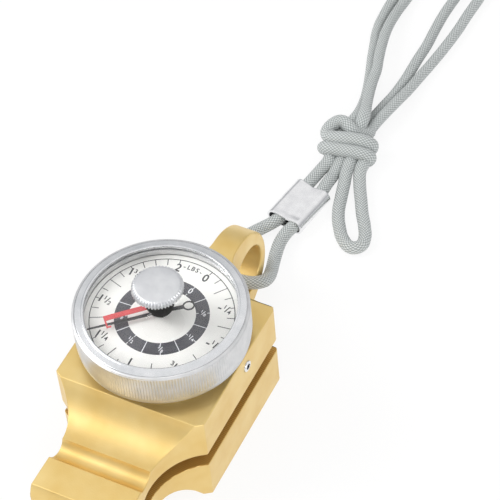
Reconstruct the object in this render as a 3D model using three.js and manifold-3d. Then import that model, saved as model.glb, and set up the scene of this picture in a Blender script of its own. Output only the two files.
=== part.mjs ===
// Pinch gauge: a C-shaped spring body with a dial indicator on its upper arm and a wrist cord.
// Millimetres. X is across the gauge, +Y points from the nose to the ring, +Z is up.
// The origin is the middle of the footprint, on the surface that the gauge lies on.

import * as THREE from 'three';
import { mergeVertices } from 'three/addons/utils/BufferGeometryUtils.js';
import Module from 'manifold-3d';

const wasm = await Module();
wasm.setup();

// Clearances shared by every piece
const clearance = 0.3;          // between pieces that touch or turn on the real gauge
const pressGap = 0.03;          // between a shaft and what is pressed on it
const overrun = 2;              // how far a cutting shape runs past the face it cuts

// Body: two mirrored arms, a slot between them and a ring at the rear
const bodyHeight = 38.1;
const blockWidth = 53.4;
const slotHeight = 5.5;
const noseReach = 63.15;        // dial axis to the tip of the nose
const blockFrontReach = 26.6;   // dial axis to the front edge of the block
const blockRearReach = 26.2;    // dial axis to the rear face of the block
const blockCornerRadius = 1.5;
const waistHalfWidth = 15.9;
const padHalfWidth = 16.75;
const waistReach = 44;          // dial axis to the narrowest place
const scallopRadius = 22.1;
const strapWidth = 9;
const strapFilletRadius = 17.3;
const sweepRadius = 14.5;       // long hollow between the block and the ridge
const sweepRise = 5.5;          // height of that hollow's centre above the block's top
const grooveRadius = 4;         // small round groove between the ridge and the pad
const grooveReach = 46.2;
const grooveDepth = 11.9;
const ridgeDepth = 8.9;         // ridge between the sweep and the groove, below the block's top
const padDepth = 9.5;           // finger pad below the block's top
const noseRadius = 12.2;
const ringOuterRadius = bodyHeight / 2;
const ringCentreReach = 43.3;
const ringHoleRadius = 9.9;
const ringHoleReach = 49.1;
const ringSplit = 0.3;          // clearance between the two halves at the thin rear wall

// Dial indicator: rim, and the case and stem that carry it
const bezelRadius = 28.575;
const bezelWall = 3.675;        // from the knurl to the bore that turns on the case
const bezelBottom = 4;
const bezelTop = 17.1;
const bezelPlainBand = 1.9;
const bezelBandStep = 0.35;
const bezelChamfer = 0.6;
const bezelLipWall = 4.175;     // from the knurl to the ledge under the crystal
const crystalThickness = 1;
const crystalBottom = 15.7;
const crystalSeatWall = 2.675;
const bezelRingSetIn = 0.675;
const bezelRingWidth = 2.9;
const bezelRingTop = 17.7;

const stemRadius = 4.7625;
const stemOffsetX = -3.6;       // stem axis from the dial axis
const stemOffsetY = 4.7;
const stemGuideLength = 1;
const stemBoreRadius = 3.2;
const stemFlangeRadius = 6.3;
const stemFlangeThickness = 0.6;
const caseWall = 2;
const caseFloor = 2;
const caseHeight = 11.3;
const bossHeight = 0.9;
const bossRadius = 2.4;
const bossCircleRadius = 14;
const bossCount = 3;

// Dial, hands and reset knob
const dialThickness = 0.8;
const dialHoleRadius = 2;
const pointerBottom = 14;
const pointerThickness = 0.3;
const pointerTipGap = 0.9;      // from the tip to the dial's edge
const pointerTail = 9.2;
const pointerTailRingRadius = 1.9;
const pointerTailRingWidth = 0.45;
const pointerTipHalfWidth = 0.2;
const pointerRootHalfWidth = 0.75;
const pointerHubRadius = 2.2;
const pointerHubDrop = 1.3;     // of the hub below the blade
const pointerAngle = -140;      // degrees from +X, seen from above
const handBottom = 15;
const handThickness = 0.3;
const handWidth = 1.9;
const handSetback = 2.7;        // the blade runs beside the axis, not through it
const handReach = 18.1;
const handAngle = -136.9;
const handTabWidth = 0.5;
const handTabDrop = 3;
const handTabFoot = 1.5;
const knobRadius = 8.4;
const knobTopRadius = 7.4;
const knobBottom = 25.8;
const knobTop = 28.9;
const knobTeeth = 48;
const knobToothDepth = 0.45;
const knobLandShare = 0.45;
const knobBoreDepth = 1.8;
const spindleRadius = 1.2;
const spindleFlangeRadius = 2.8;
const spindleFlangeThickness = 0.4;
const bushingNeckRadius = 3.2;
const bushingFootRadius = 3.9;
const bushingTopRadius = 6.1;
const bushingConeTop = 23.9;

// Plunger and return spring
const plungerRadius = 2;
const plungerTop = 8.4;
const collarRadius = 2.9;
const collarThickness = 1;
const contactRadius = 2.3;
const contactLength = 3.3;
const contactDomeRadius = 1.7;
const springRadialThickness = 0.6;
const rackFlatDepth = 0.6;
const rackToothDepth = 0.35;
const rackToothPitch = 1;
const rackTeeth = 7;
const rackNotchSides = 4;

// Movement
const plateRadius = 17;
const plateThickness = 0.6;
const plateSpacing = 7;
const pillarRadius = 1.3;
const pillarCircleRadius = 12;
const movementScrewShank = 0.7;
const movementScrewHead = 1.4;
const movementScrewHeadHeight = 0.6;
const arborRadius = 0.6;
const rackPinionRadius = 1.6;
const rackPinionWidth = 1.6;
const rackPinionTeeth = 12;
const crownRadius = 3.2;
const crownThickness = 0.9;
const crownTeeth = 24;
const crownToothHeight = 0.4;
const crownToothLength = 0.64;
const centreArborRadius = 0.5;
const centrePinionRadius = 0.75;
const centrePinionLength = 1.2;
const centrePinionTeeth = 10;
const centrePinionToothDepth = 0.15;
const lugCount = 2;
const lugThickness = 1;
const lugHalfWidth = 1.6;
const lugReach = 9;             // dial axis to the nearer bearing lug
const lugPitch = 3;
const lugHeadroom = 1.2;        // of the lug above the arbor's axis
const hairspringReach = 7.3;
const hairspringWidth = 0.4;
const hairspringTurns = 3;
const hairspringPitch = 0.7;
const hairspringThickness = 0.25;

// Set screw that clamps the stem
const setScrewRadius = 2;
const setScrewDepth = 5.6;      // below the block's top
const setScrewStandOut = 0.5;  // past the block's side
const setScrewSocketRadius = 1.15;
const setScrewSocketDepth = 1.8;
const setScrewSocketSides = 6;

// Cord, ferrule and knot
const cordRadius = 2;
const cordSides = 8;
const ferruleLength = 18.2;
const ferruleWall = 1;
const ferruleStrandOffset = 4.3;
const ferruleX = 0.8;
const ferruleReach = 95.6;
const ferruleHeight = 3.45;
const ferruleAngle = -10;       // degrees, turned about +Z from +Y
const knotX = 5.3;
const knotReach = 128.6;
const knotHeight = 6.6;
const knotAngle = 13.9;
const knotHalfWidth = 10.5;
const knotHalfHeight = 6.4;
const knotBandRadius = 2.3;
const knotBandPitch = 4.1;
const knotCoreLength = 12.4;
const knotHumpHalfWidth = 5;
const knotHumpShiftShare = 0.42;
const knotHumpLean = 24;

// Smoothness
const fineSegments = 48;
const midSegments = 24;
const smallSegments = 12;
const bandSides = 6;
const arcSteps = 10;
const planArcSteps = 8;
const domeSteps = 4;
const ferruleArcSteps = 6;
const eyeLoopSteps = 28;
const outerLoopSteps = 22;
const innerLoopSteps = 20;
const bightSteps = 12;
const mergeTolerance = 1e-4;

// Heights and places that follow from the sizes above
const armHeight = (bodyHeight - slotHeight) / 2;
const midHeight = bodyHeight / 2;
const ringRearReach = ringCentreReach + ringOuterRadius;
const dialY = (noseReach - ringRearReach) / 2;
const caseRadius = bezelRadius - bezelWall - clearance;
const bezelLipRadius = bezelRadius - bezelLipWall;
const crystalSeatRadius = bezelRadius - crystalSeatWall;
const bezelRingOuterRadius = bezelRadius - bezelRingSetIn;
const bezelRingInnerRadius = bezelRingOuterRadius - bezelRingWidth;
const pointerReach = caseRadius - pointerTipGap;
const dialBottom = caseHeight + clearance;
const dialTop = dialBottom + dialThickness;
const plateBottom = caseFloor + bossHeight;
const plateTop = plateBottom + plateThickness;
const upperPlateBottom = plateTop + plateSpacing;
const rackAxisHeight = plateTop + plateSpacing / 2;
const stemBottom = -armHeight + clearance;
const collarBottom = stemBottom + stemGuideLength + clearance;
const contactTip = -armHeight - slotHeight + clearance;
const material = {
  body: { color: 0xd9bf7a, roughness: 0.35, metalness: 0.9 },
  satin: { color: 0xc4c6cb, roughness: 0.3, metalness: 0.9 },
  steel: { color: 0xb4b6ba, roughness: 0.3, metalness: 1 },
  brass: { color: 0xc9a35a, roughness: 0.35, metalness: 1 },
  black: { color: 0x17181a, roughness: 0.45, metalness: 0.1 },
  red: { color: 0xc23a3a, roughness: 0.45, metalness: 0.1 },
  dial: { color: 0xf2f2ee, roughness: 0.6, metalness: 0 },
  clear: { color: 0xeaf2f4, roughness: 0.05, metalness: 0 },
  cord: { color: 0x9a9fa6, roughness: 0.9, metalness: 0 },
};

// Helpers: closed geometry, solids for cutting and joining, and the basic forms

function signedVolume(positions, index) {
  const a = new THREE.Vector3();
  const b = new THREE.Vector3();
  const c = new THREE.Vector3();
  let sum = 0;
  for (let i = 0; i < index.length; i += 3) {
    a.fromArray(positions, index[i] * 3);
    b.fromArray(positions, index[i + 1] * 3);
    c.fromArray(positions, index[i + 2] * 3);
    sum += a.dot(b.cross(c));
  }
  return sum;
}

function closed(geometry) {
  const bare = geometry.clone();
  bare.deleteAttribute('normal');
  bare.deleteAttribute('uv');
  const merged = mergeVertices(bare, mergeTolerance);
  const source = merged.index.array;
  const kept = [];
  for (let i = 0; i < source.length; i += 3) {
    const [a, b, c] = [source[i], source[i + 1], source[i + 2]];
    if (a !== b && b !== c && c !== a) kept.push(a, b, c);
  }
  if (signedVolume(merged.attributes.position.array, kept) < 0) {
    for (let i = 0; i < kept.length; i += 3) {
      [kept[i + 1], kept[i + 2]] = [kept[i + 2], kept[i + 1]];
    }
  }
  merged.setIndex(kept);
  return merged;
}

function solid(geometry) {
  const shell = closed(geometry);
  return new wasm.Manifold(new wasm.Mesh({
    numProp: 3,
    vertProperties: new Float32Array(shell.attributes.position.array),
    triVerts: new Uint32Array(shell.index.array),
  }));
}

function geometryOf(shape) {
  const mesh = shape.getMesh();
  const geometry = new THREE.BufferGeometry();
  geometry.setAttribute('position', new THREE.BufferAttribute(mesh.vertProperties, 3));
  geometry.setIndex(new THREE.BufferAttribute(mesh.triVerts, 1));
  return geometry;
}

function joined(shapes) {
  return shapes.reduce((sum, shape) => sum.add(shape));
}

// A turned form about +Z from [radius, height] pairs; it closes on itself or ends on the axis.
function turned(profile, segments) {
  const points = profile.map(([radius, height]) => new THREE.Vector2(radius, height));
  return new THREE.LatheGeometry(points, segments).rotateX(Math.PI / 2);
}

// A turned tube or ring: the profile's last point is its first one.
function turnedRing(profile, segments) {
  return turned([...profile, profile[0]], segments);
}

// A plain round bar along +Z
function bar(radius, bottom, top, segments) {
  return turned([[0, bottom], [radius, bottom], [radius, top], [0, top]], segments);
}

// An outline in the plan, raised along +Z
function raised(shape, bottom, height, steps = arcSteps) {
  return new THREE.ExtrudeGeometry(shape, {
    depth: height,
    bevelEnabled: false,
    curveSegments: steps,
  }).translate(0, 0, bottom);
}

// An outline in the side view (along, up), carried across the width
function across(shape, width, steps = arcSteps) {
  const sideways = new THREE.Matrix4().makeBasis(
    new THREE.Vector3(0, 1, 0),
    new THREE.Vector3(0, 0, 1),
    new THREE.Vector3(1, 0, 0),
  );
  return new THREE.ExtrudeGeometry(shape, {
    depth: width,
    bevelEnabled: false,
    curveSegments: steps,
  }).translate(0, 0, -width / 2).applyMatrix4(sideways);
}

function toothed(radius, depth, teeth, landShare = 0.5) {
  const shape = new THREE.Shape();
  const step = (2 * Math.PI) / teeth;
  for (let tooth = 0; tooth < teeth; tooth += 1) {
    const corners = [
      [radius - depth, 0],
      [radius, (1 - landShare) / 2],
      [radius, (1 + landShare) / 2],
      [radius - depth, 1],
    ];
    corners.slice(0, 3).forEach(([r, share], corner) => {
      const angle = (tooth + share) * step;
      const [x, y] = [r * Math.cos(angle), r * Math.sin(angle)];
      if (tooth === 0 && corner === 0) shape.moveTo(x, y);
      else shape.lineTo(x, y);
    });
  }
  shape.closePath();
  return shape;
}

const gauge = new THREE.Group();
const indicator = new THREE.Group();
indicator.position.set(0, dialY, bodyHeight);
gauge.add(indicator);

function place(parent, name, geometry, look) {
  const shell = closed(geometry);
  const flat = shell.toNonIndexed();
  flat.computeVertexNormals();
  const mesh = new THREE.Mesh(flat, new THREE.MeshStandardMaterial(look));
  mesh.name = name;
  parent.add(mesh);
  return mesh;
}

// Body

// The arm's outline in the plan: scallops beside the pads, the block, and the strap to the ring
function armPlan() {
  const half = blockWidth / 2;
  const scallopX = waistHalfWidth + scallopRadius;
  const padRun = Math.sqrt(scallopRadius ** 2 - (scallopX - padHalfWidth) ** 2);
  const blockRun = Math.sqrt(scallopRadius ** 2 - (scallopX - half) ** 2);
  const waistY = dialY - waistReach;
  const rearY = dialY + blockRearReach;
  const strapHalf = strapWidth / 2;
  const strapX = strapHalf + strapFilletRadius;
  const strapY = rearY + strapFilletRadius;
  const endY = dialY + ringRearReach + overrun;
  const noseY = dialY - noseReach - overrun;
  const padAngle = Math.atan2(padRun, scallopX - padHalfWidth);
  const blockAngle = Math.atan2(blockRun, scallopX - half);
  const shape = new THREE.Shape();
  shape.moveTo(-padHalfWidth, noseY);
  shape.lineTo(padHalfWidth, noseY);
  shape.lineTo(padHalfWidth, waistY - padRun);
  shape.absarc(scallopX, waistY, scallopRadius, Math.PI + padAngle, Math.PI - blockAngle, true);
  shape.lineTo(half, rearY - blockCornerRadius);
  shape.absarc(half - blockCornerRadius, rearY - blockCornerRadius, blockCornerRadius, 0, Math.PI / 2);
  shape.lineTo(strapX, rearY);
  shape.absarc(strapX, strapY, strapFilletRadius, -Math.PI / 2, -Math.PI, true);
  shape.lineTo(strapHalf, endY);
  shape.lineTo(-strapHalf, endY);
  shape.lineTo(-strapHalf, strapY);
  shape.absarc(-strapX, strapY, strapFilletRadius, 0, -Math.PI / 2, true);
  shape.lineTo(-half + blockCornerRadius, rearY);
  shape.absarc(-half + blockCornerRadius, rearY - blockCornerRadius, blockCornerRadius,
    Math.PI / 2, Math.PI);
  shape.lineTo(-half, waistY + blockRun);
  shape.absarc(-scallopX, waistY, scallopRadius, blockAngle, -padAngle, true);
  shape.closePath();
  return shape;
}

// The upper arm seen from the side, measured along Y and up from the middle of the slot
function armSide() {
  const top = midHeight;
  const slotEdge = slotHeight / 2;
  const split = ringSplit / 2;
  const ringY = dialY + ringCentreReach;
  const holeY = dialY + ringHoleReach;
  const frontY = dialY - blockFrontReach;
  const sweepRun = Math.sqrt(sweepRadius ** 2 - sweepRise ** 2);
  const sweepY = frontY - sweepRun;
  const grooveY = dialY - grooveReach;
  const grooveTop = top - grooveDepth + grooveRadius;
  const padZ = top - padDepth;
  const padRun = Math.sqrt(grooveRadius ** 2 - (grooveTop - padZ) ** 2);
  const ridgeZ = top - ridgeDepth;
  const ridgeY = grooveY + Math.sqrt(grooveRadius ** 2 - (grooveTop - ridgeZ) ** 2);
  const ridgeAngle = Math.atan2(ridgeZ - grooveTop, ridgeY - grooveY);
  const sweepEnd = Math.atan2(ridgeZ - top - sweepRise, ridgeY - sweepY);
  const sweepStart = Math.atan2(-sweepRise, sweepRun);
  const noseY = dialY - noseReach;
  const padEndAngle = Math.asin((padZ - slotEdge) / noseRadius);
  const shape = new THREE.Shape();
  shape.moveTo(ringY + Math.sqrt(ringOuterRadius ** 2 - split ** 2), split);
  shape.absarc(ringY, 0, ringOuterRadius, Math.asin(split / ringOuterRadius), Math.PI / 2);
  shape.lineTo(frontY, top);
  shape.absarc(sweepY, top + sweepRise, sweepRadius, sweepStart, sweepEnd, true);
  shape.absarc(grooveY, grooveTop, grooveRadius, ridgeAngle,
    -Math.PI + Math.atan2(grooveTop - padZ, padRun), true);
  shape.absarc(noseY + noseRadius, slotEdge, noseRadius, Math.PI - padEndAngle, Math.PI);
  const holeRun = Math.sqrt(ringHoleRadius ** 2 - slotEdge ** 2);
  shape.lineTo(holeY - holeRun, slotEdge);
  shape.absarc(holeY, 0, ringHoleRadius, Math.PI - Math.asin(slotEdge / ringHoleRadius),
    Math.asin(split / ringHoleRadius), true);
  shape.closePath();
  return shape;
}

function armSolid() {
  const plan = solid(raised(armPlan(), 0, bodyHeight, planArcSteps));
  const side = solid(across(armSide(), blockWidth + overrun).translate(0, 0, midHeight));
  return plan.intersect(side);
}

const stemPlace = new THREE.Vector3(stemOffsetX, dialY + stemOffsetY, bodyHeight);

// The bore for the stem and the side hole for its clamp screw are in the upper arm only.
function upperArm() {
  const bore = solid(bar(stemRadius + clearance, -armHeight - overrun, overrun, midSegments)
    .translate(stemPlace.x, stemPlace.y, stemPlace.z));
  const screwHole = solid(bar(setScrewRadius + clearance, 0, blockWidth / 2 + overrun, smallSegments)
    .rotateY(Math.PI / 2)
    .translate(0, stemPlace.y, bodyHeight - setScrewDepth));
  return geometryOf(armSolid().subtract(bore).subtract(screwHole));
}

function lowerArm() {
  const mirrored = geometryOf(armSolid());
  mirrored.scale(1, 1, -1);
  mirrored.translate(0, 0, bodyHeight);
  return mirrored;
}

place(gauge, 'upper_arm', upperArm(), material.body);
place(gauge, 'lower_arm', lowerArm(), material.body);

// Set screw: headless, with a six-sided socket
function setScrew() {
  const start = stemOffsetX + stemRadius + clearance;
  const end = blockWidth / 2 + setScrewStandOut;
  const body = solid(bar(setScrewRadius, start, end, smallSegments));
  const socket = solid(bar(setScrewSocketRadius, end - setScrewSocketDepth, end + overrun,
    setScrewSocketSides));
  return geometryOf(body.subtract(socket))
    .rotateY(Math.PI / 2)
    .translate(0, stemOffsetY, -setScrewDepth);
}

place(indicator, 'set_screw', setScrew(), material.steel);

// Case: a cup with three bosses for the movement and a hole for the stem

function ringOfPlaces(radius, count, turnShare = 0) {
  return Array.from({ length: count }, (_, i) => {
    const angle = ((i + turnShare) * 2 * Math.PI) / count;
    return [radius * Math.cos(angle), radius * Math.sin(angle)];
  });
}

const bossTurnShare = 0.3;
const pillarTurnShare = 0.55;
const bossPlaces = ringOfPlaces(bossCircleRadius, bossCount, bossTurnShare);
const pillarPlaces = ringOfPlaces(pillarCircleRadius, bossCount, pillarTurnShare);

function indicatorCase() {
  const inner = caseRadius - caseWall;
  let cup = solid(turned([
    [0, 0], [caseRadius, 0], [caseRadius, caseHeight], [inner, caseHeight],
    [inner, caseFloor], [0, caseFloor],
  ], fineSegments));
  for (const [x, y] of bossPlaces) {
    cup = cup.add(solid(bar(bossRadius, caseFloor / 2, plateBottom, smallSegments).translate(x, y, 0)));
    cup = cup.subtract(solid(bar(movementScrewShank + clearance, caseFloor / 2,
      plateBottom + overrun, smallSegments).translate(x, y, 0)));
  }
  const hole = solid(bar(stemRadius + clearance, -overrun, caseFloor + overrun, midSegments)
    .translate(stemOffsetX, stemOffsetY, 0));
  return geometryOf(cup.subtract(hole));
}

place(indicator, 'indicator_case', indicatorCase(), material.steel);

// Stem: its flange lies on the case's floor, and it guides the plunger at both ends
function stem() {
  const guide = plungerRadius + clearance;
  const top = caseFloor + stemFlangeThickness;
  return turnedRing([
    [guide, stemBottom], [stemRadius, stemBottom], [stemRadius, caseFloor],
    [stemFlangeRadius, caseFloor], [stemFlangeRadius, top], [guide, top],
    [guide, top - stemFlangeThickness - stemGuideLength],
    [stemBoreRadius, top - stemFlangeThickness - stemGuideLength],
    [stemBoreRadius, stemBottom + stemGuideLength], [guide, stemBottom + stemGuideLength],
  ], midSegments).translate(stemOffsetX, stemOffsetY, 0);
}

place(indicator, 'stem', stem(), material.steel);

// Plunger with its collar and a rack on the side that faces the pinion
function plunger() {
  const bottom = contactTip + contactLength;
  const rod = solid(turned([
    [0, bottom], [plungerRadius, bottom], [plungerRadius, collarBottom],
    [collarRadius, collarBottom], [collarRadius, collarBottom + collarThickness],
    [plungerRadius, collarBottom + collarThickness], [plungerRadius, plungerTop], [0, plungerTop],
  ], midSegments));
  const rackTop = plungerTop + overrun;
  const rackBottom = rackAxisHeight - (rackTeeth * rackToothPitch) / 2;
  const flatX = plungerRadius - rackFlatDepth;
  const flat = new THREE.BoxGeometry(overrun, plungerRadius * 2, rackTop - rackBottom)
    .translate(flatX + overrun / 2, 0, (rackTop + rackBottom) / 2);
  let rack = rod.subtract(solid(flat));
  for (let tooth = 0; tooth < rackTeeth; tooth += 1) {
    const notchZ = rackBottom + rackToothPitch / 2 + tooth * rackToothPitch;
    const notch = new THREE.CylinderGeometry(rackToothDepth, rackToothDepth, plungerRadius * 2,
      rackNotchSides).translate(flatX, 0, notchZ);
    rack = rack.subtract(solid(notch));
  }
  return geometryOf(rack).translate(stemOffsetX, stemOffsetY, 0);
}

place(indicator, 'plunger', plunger(), material.steel);

// Contact point: screwed to the plunger's foot, rounded where it meets the lower arm
function contactPoint() {
  const arc = [];
  for (let i = 1; i <= domeSteps; i += 1) {
    const angle = ((i / domeSteps) * Math.PI) / 2;
    arc.push([contactDomeRadius * Math.sin(angle), contactTip + contactDomeRadius * (1 - Math.cos(angle))]);
  }
  const top = contactTip + contactLength;
  const shoulder = contactTip + contactDomeRadius;
  return turned([
    [0, contactTip], ...arc, [contactRadius, shoulder + (contactRadius - contactDomeRadius)],
    [contactRadius, top - clearance], [plungerRadius, top], [0, top],
  ], midSegments).translate(stemOffsetX, stemOffsetY, 0);
}

place(indicator, 'contact_point', contactPoint(), material.steel);

// Return spring: round the plunger, from its collar up to the stem's upper guide
const springBottom = collarBottom + collarThickness + clearance;
const springTop = caseFloor - stemGuideLength - clearance;

function plungerSpring() {
  const inner = plungerRadius + clearance;
  const outer = inner + springRadialThickness;
  return turnedRing([
    [inner, springBottom], [outer, springBottom], [outer, springTop], [inner, springTop],
  ], midSegments).translate(stemOffsetX, stemOffsetY, 0);
}

place(indicator, 'plunger_spring', plungerSpring(), material.steel);

// Movement plates: the lower one lies on the case's bosses and carries the two bearing lugs
const plungerHole = solid(bar(plungerRadius + 2 * clearance, plateBottom - overrun,
  upperPlateBottom + plateThickness + overrun, midSegments).translate(stemOffsetX, stemOffsetY, 0));

function movementPlateLower() {
  let plate = solid(bar(plateRadius, plateBottom, plateTop, midSegments));
  const lugHeight = plateSpacing / 2 + lugHeadroom + plateThickness;
  for (let i = 0; i < lugCount; i += 1) {
    const lugY = lugReach + i * lugPitch + lugThickness / 2;
    plate = plate.add(solid(new THREE.BoxGeometry(lugHalfWidth * 2, lugThickness, lugHeight)
      .translate(0, lugY, plateBottom + lugHeight / 2)));
  }
  const bearing = solid(bar(arborRadius + clearance, lugReach - overrun,
    lugReach + lugPitch + lugThickness + overrun, smallSegments)
    .rotateX(-Math.PI / 2)
    .translate(0, 0, rackAxisHeight));
  plate = plate.subtract(bearing).subtract(plungerHole);
  for (const [x, y] of bossPlaces) {
    plate = plate.subtract(solid(bar(movementScrewShank + clearance, plateBottom - overrun,
      plateTop + overrun, smallSegments).translate(x, y, 0)));
  }
  const pivot = bar(centreArborRadius + clearance, plateBottom - overrun, plateTop + overrun,
    smallSegments);
  return geometryOf(plate.subtract(solid(pivot)));
}

function movementPlateUpper() {
  const top = upperPlateBottom + plateThickness;
  const plate = solid(bar(plateRadius, upperPlateBottom, top, midSegments));
  const pivot = bar(centreArborRadius + clearance, upperPlateBottom - overrun, top + overrun,
    smallSegments);
  return geometryOf(plate.subtract(plungerHole).subtract(solid(pivot)));
}

place(indicator, 'movement_plate_lower', movementPlateLower(), material.brass);
place(indicator, 'movement_plate_upper', movementPlateUpper(), material.brass);

function movementScrew() {
  const foot = caseFloor / 2 + clearance;
  const headTop = plateTop + movementScrewHeadHeight;
  return turned([
    [0, foot], [movementScrewShank, foot], [movementScrewShank, plateTop],
    [movementScrewHead, plateTop], [movementScrewHead, headTop], [0, headTop],
  ], smallSegments);
}

pillarPlaces.forEach(([x, y], i) => {
  const pillar = bar(pillarRadius, plateTop, upperPlateBottom, smallSegments).translate(x, y, 0);
  place(indicator, `movement_pillar_${i + 1}`, pillar, material.brass);
});

bossPlaces.forEach(([x, y], i) => {
  place(indicator, `movement_screw_${i + 1}`, movementScrew().translate(x, y, 0), material.steel);
});

// Rack arbor: lies along Y with its pinion beside the plunger's rack
function rackArbor() {
  const front = centrePinionRadius + 2 * clearance;
  const rear = lugReach + lugPitch + lugThickness + clearance;
  const shaft = solid(bar(arborRadius, front, rear, smallSegments));
  const pinion = solid(raised(toothed(rackPinionRadius, rackToothDepth, rackPinionTeeth),
    stemOffsetY - rackPinionWidth / 2, rackPinionWidth));
  return geometryOf(shaft.add(pinion)).rotateX(-Math.PI / 2).translate(0, 0, rackAxisHeight);
}

place(indicator, 'rack_arbor', rackArbor(), material.steel);

// Crown gear: its teeth stand on the face towards the centre pinion
function crownGear() {
  const front = centrePinionRadius + clearance;
  const face = front + crownToothHeight;
  let gear = solid(turnedRing([
    [arborRadius + clearance, face], [crownRadius, face], [crownRadius, front + crownThickness],
    [arborRadius + clearance, front + crownThickness],
  ], midSegments));
  const toothWidth = (Math.PI * crownRadius) / crownTeeth;
  for (let tooth = 0; tooth < crownTeeth; tooth += 1) {
    const block = new THREE.BoxGeometry(crownToothLength, toothWidth / 2, crownToothHeight * 2)
      .translate(crownRadius - crownToothLength, 0, face)
      .rotateZ((tooth * 2 * Math.PI) / crownTeeth);
    gear = gear.add(solid(block));
  }
  return geometryOf(gear).rotateX(-Math.PI / 2).translate(0, 0, rackAxisHeight);
}

place(indicator, 'crown_gear', crownGear(), material.brass);

// Centre arbor and the pinion that the crown gear drives
const centrePinionBottom = upperPlateBottom - clearance - centrePinionLength;

function centreArbor() {
  return bar(centreArborRadius, plateBottom, pointerBottom + pointerThickness, smallSegments);
}

function centrePinion() {
  const pinion = solid(raised(toothed(centrePinionRadius, centrePinionToothDepth, centrePinionTeeth),
    centrePinionBottom, centrePinionLength));
  const bore = solid(bar(centreArborRadius + pressGap, centrePinionBottom - overrun,
    centrePinionBottom + centrePinionLength + overrun, smallSegments));
  return geometryOf(pinion.subtract(bore));
}

place(indicator, 'centre_arbor', centreArbor(), material.steel);
place(indicator, 'centre_pinion', centrePinion(), material.brass);

// Hairspring: a flat spiral strip round the rack arbor
function hairspring() {
  const steps = hairspringTurns * smallSegments;
  const inner = arborRadius + clearance;
  const outline = (offset) => Array.from({ length: steps + 1 }, (_, i) => {
    const angle = (i / smallSegments) * 2 * Math.PI;
    const radius = inner + offset + (i / smallSegments) * hairspringPitch;
    return new THREE.Vector2(radius * Math.cos(angle), radius * Math.sin(angle));
  });
  const shape = new THREE.Shape([...outline(hairspringThickness), ...outline(0).reverse()]);
  return raised(shape, hairspringReach, hairspringWidth)
    .rotateX(-Math.PI / 2)
    .translate(0, 0, rackAxisHeight);
}

place(indicator, 'hairspring', hairspring(), material.steel);

// Bezel: the knurled rim that turns on the case and carries the dial and the crystal
function bezel() {
  const inner = caseRadius + clearance;
  const ledge = dialTop + clearance;
  const seat = crystalBottom;
  return turnedRing([
    [inner, bezelBottom], [bezelRadius - bezelBandStep, bezelBottom],
    [bezelRadius - bezelBandStep, bezelBottom + bezelPlainBand],
    [bezelRadius, bezelBottom + bezelPlainBand], [bezelRadius, bezelTop - bezelChamfer],
    [bezelRingOuterRadius, bezelTop], [bezelRingOuterRadius, seat + crystalThickness],
    [crystalSeatRadius, seat + crystalThickness], [crystalSeatRadius, seat],
    [bezelLipRadius, seat], [bezelLipRadius, ledge], [inner, ledge],
  ], fineSegments);
}

function bezelRing() {
  const bottom = crystalBottom + crystalThickness;
  return turnedRing([
    [bezelRingInnerRadius, bottom], [bezelRingOuterRadius - clearance, bottom],
    [bezelRingOuterRadius - clearance, bezelTop], [bezelRingInnerRadius + clearance, bezelRingTop],
    [bezelRingInnerRadius, bezelRingTop - clearance],
  ], fineSegments);
}

function crystal() {
  const hole = bushingNeckRadius + clearance;
  const rim = crystalSeatRadius - clearance;
  return turnedRing([
    [hole, crystalBottom], [rim, crystalBottom], [rim, crystalBottom + crystalThickness],
    [hole, crystalBottom + crystalThickness],
  ], fineSegments);
}

function dialFace() {
  return turnedRing([
    [dialHoleRadius, dialBottom], [caseRadius, dialBottom], [caseRadius, dialTop],
    [dialHoleRadius, dialTop],
  ], fineSegments);
}

place(indicator, 'bezel', bezel(), material.satin);
place(indicator, 'bezel_ring', bezelRing(), material.satin);
place(indicator, 'crystal', crystal(), material.clear);
place(indicator, 'dial_face', dialFace(), material.dial);

// Bushing in the crystal's hole, which widens upwards to the knob
function knobBushing() {
  const bore = spindleRadius + clearance;
  const seat = crystalBottom + crystalThickness;
  return turnedRing([
    [bore, crystalBottom], [bushingNeckRadius, crystalBottom], [bushingNeckRadius, seat],
    [bushingFootRadius, seat], [bushingTopRadius, bushingConeTop],
    [bushingTopRadius, knobBottom - clearance], [bore, knobBottom - clearance],
  ], midSegments);
}

place(indicator, 'knob_bushing', knobBushing(), material.black);

// Reset knob: straight teeth round the edge and a plain domed disc on top
function resetKnob() {
  const disc = solid(raised(toothed(knobRadius, knobToothDepth, knobTeeth, knobLandShare),
    knobBottom, knobTop - knobBottom));
  const cap = solid(turned([
    [0, knobBottom - overrun], [knobRadius + overrun, knobBottom - overrun],
    [knobRadius + overrun, knobTop - (knobRadius - knobTopRadius) - overrun],
    [knobTopRadius, knobTop], [0, knobTop],
  ], fineSegments));
  const bore = solid(bar(spindleRadius + clearance, knobBottom - overrun,
    knobBottom + knobBoreDepth, smallSegments));
  return geometryOf(disc.intersect(cap).subtract(bore));
}

// Knob spindle: its flange under the crystal carries the maximum hand
function knobSpindle() {
  const flangeBottom = handBottom - spindleFlangeThickness;
  return turned([
    [0, flangeBottom], [spindleFlangeRadius, flangeBottom], [spindleFlangeRadius, handBottom],
    [spindleRadius, handBottom], [spindleRadius, knobBottom + knobBoreDepth - clearance],
    [0, knobBottom + knobBoreDepth - clearance],
  ], smallSegments);
}

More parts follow.
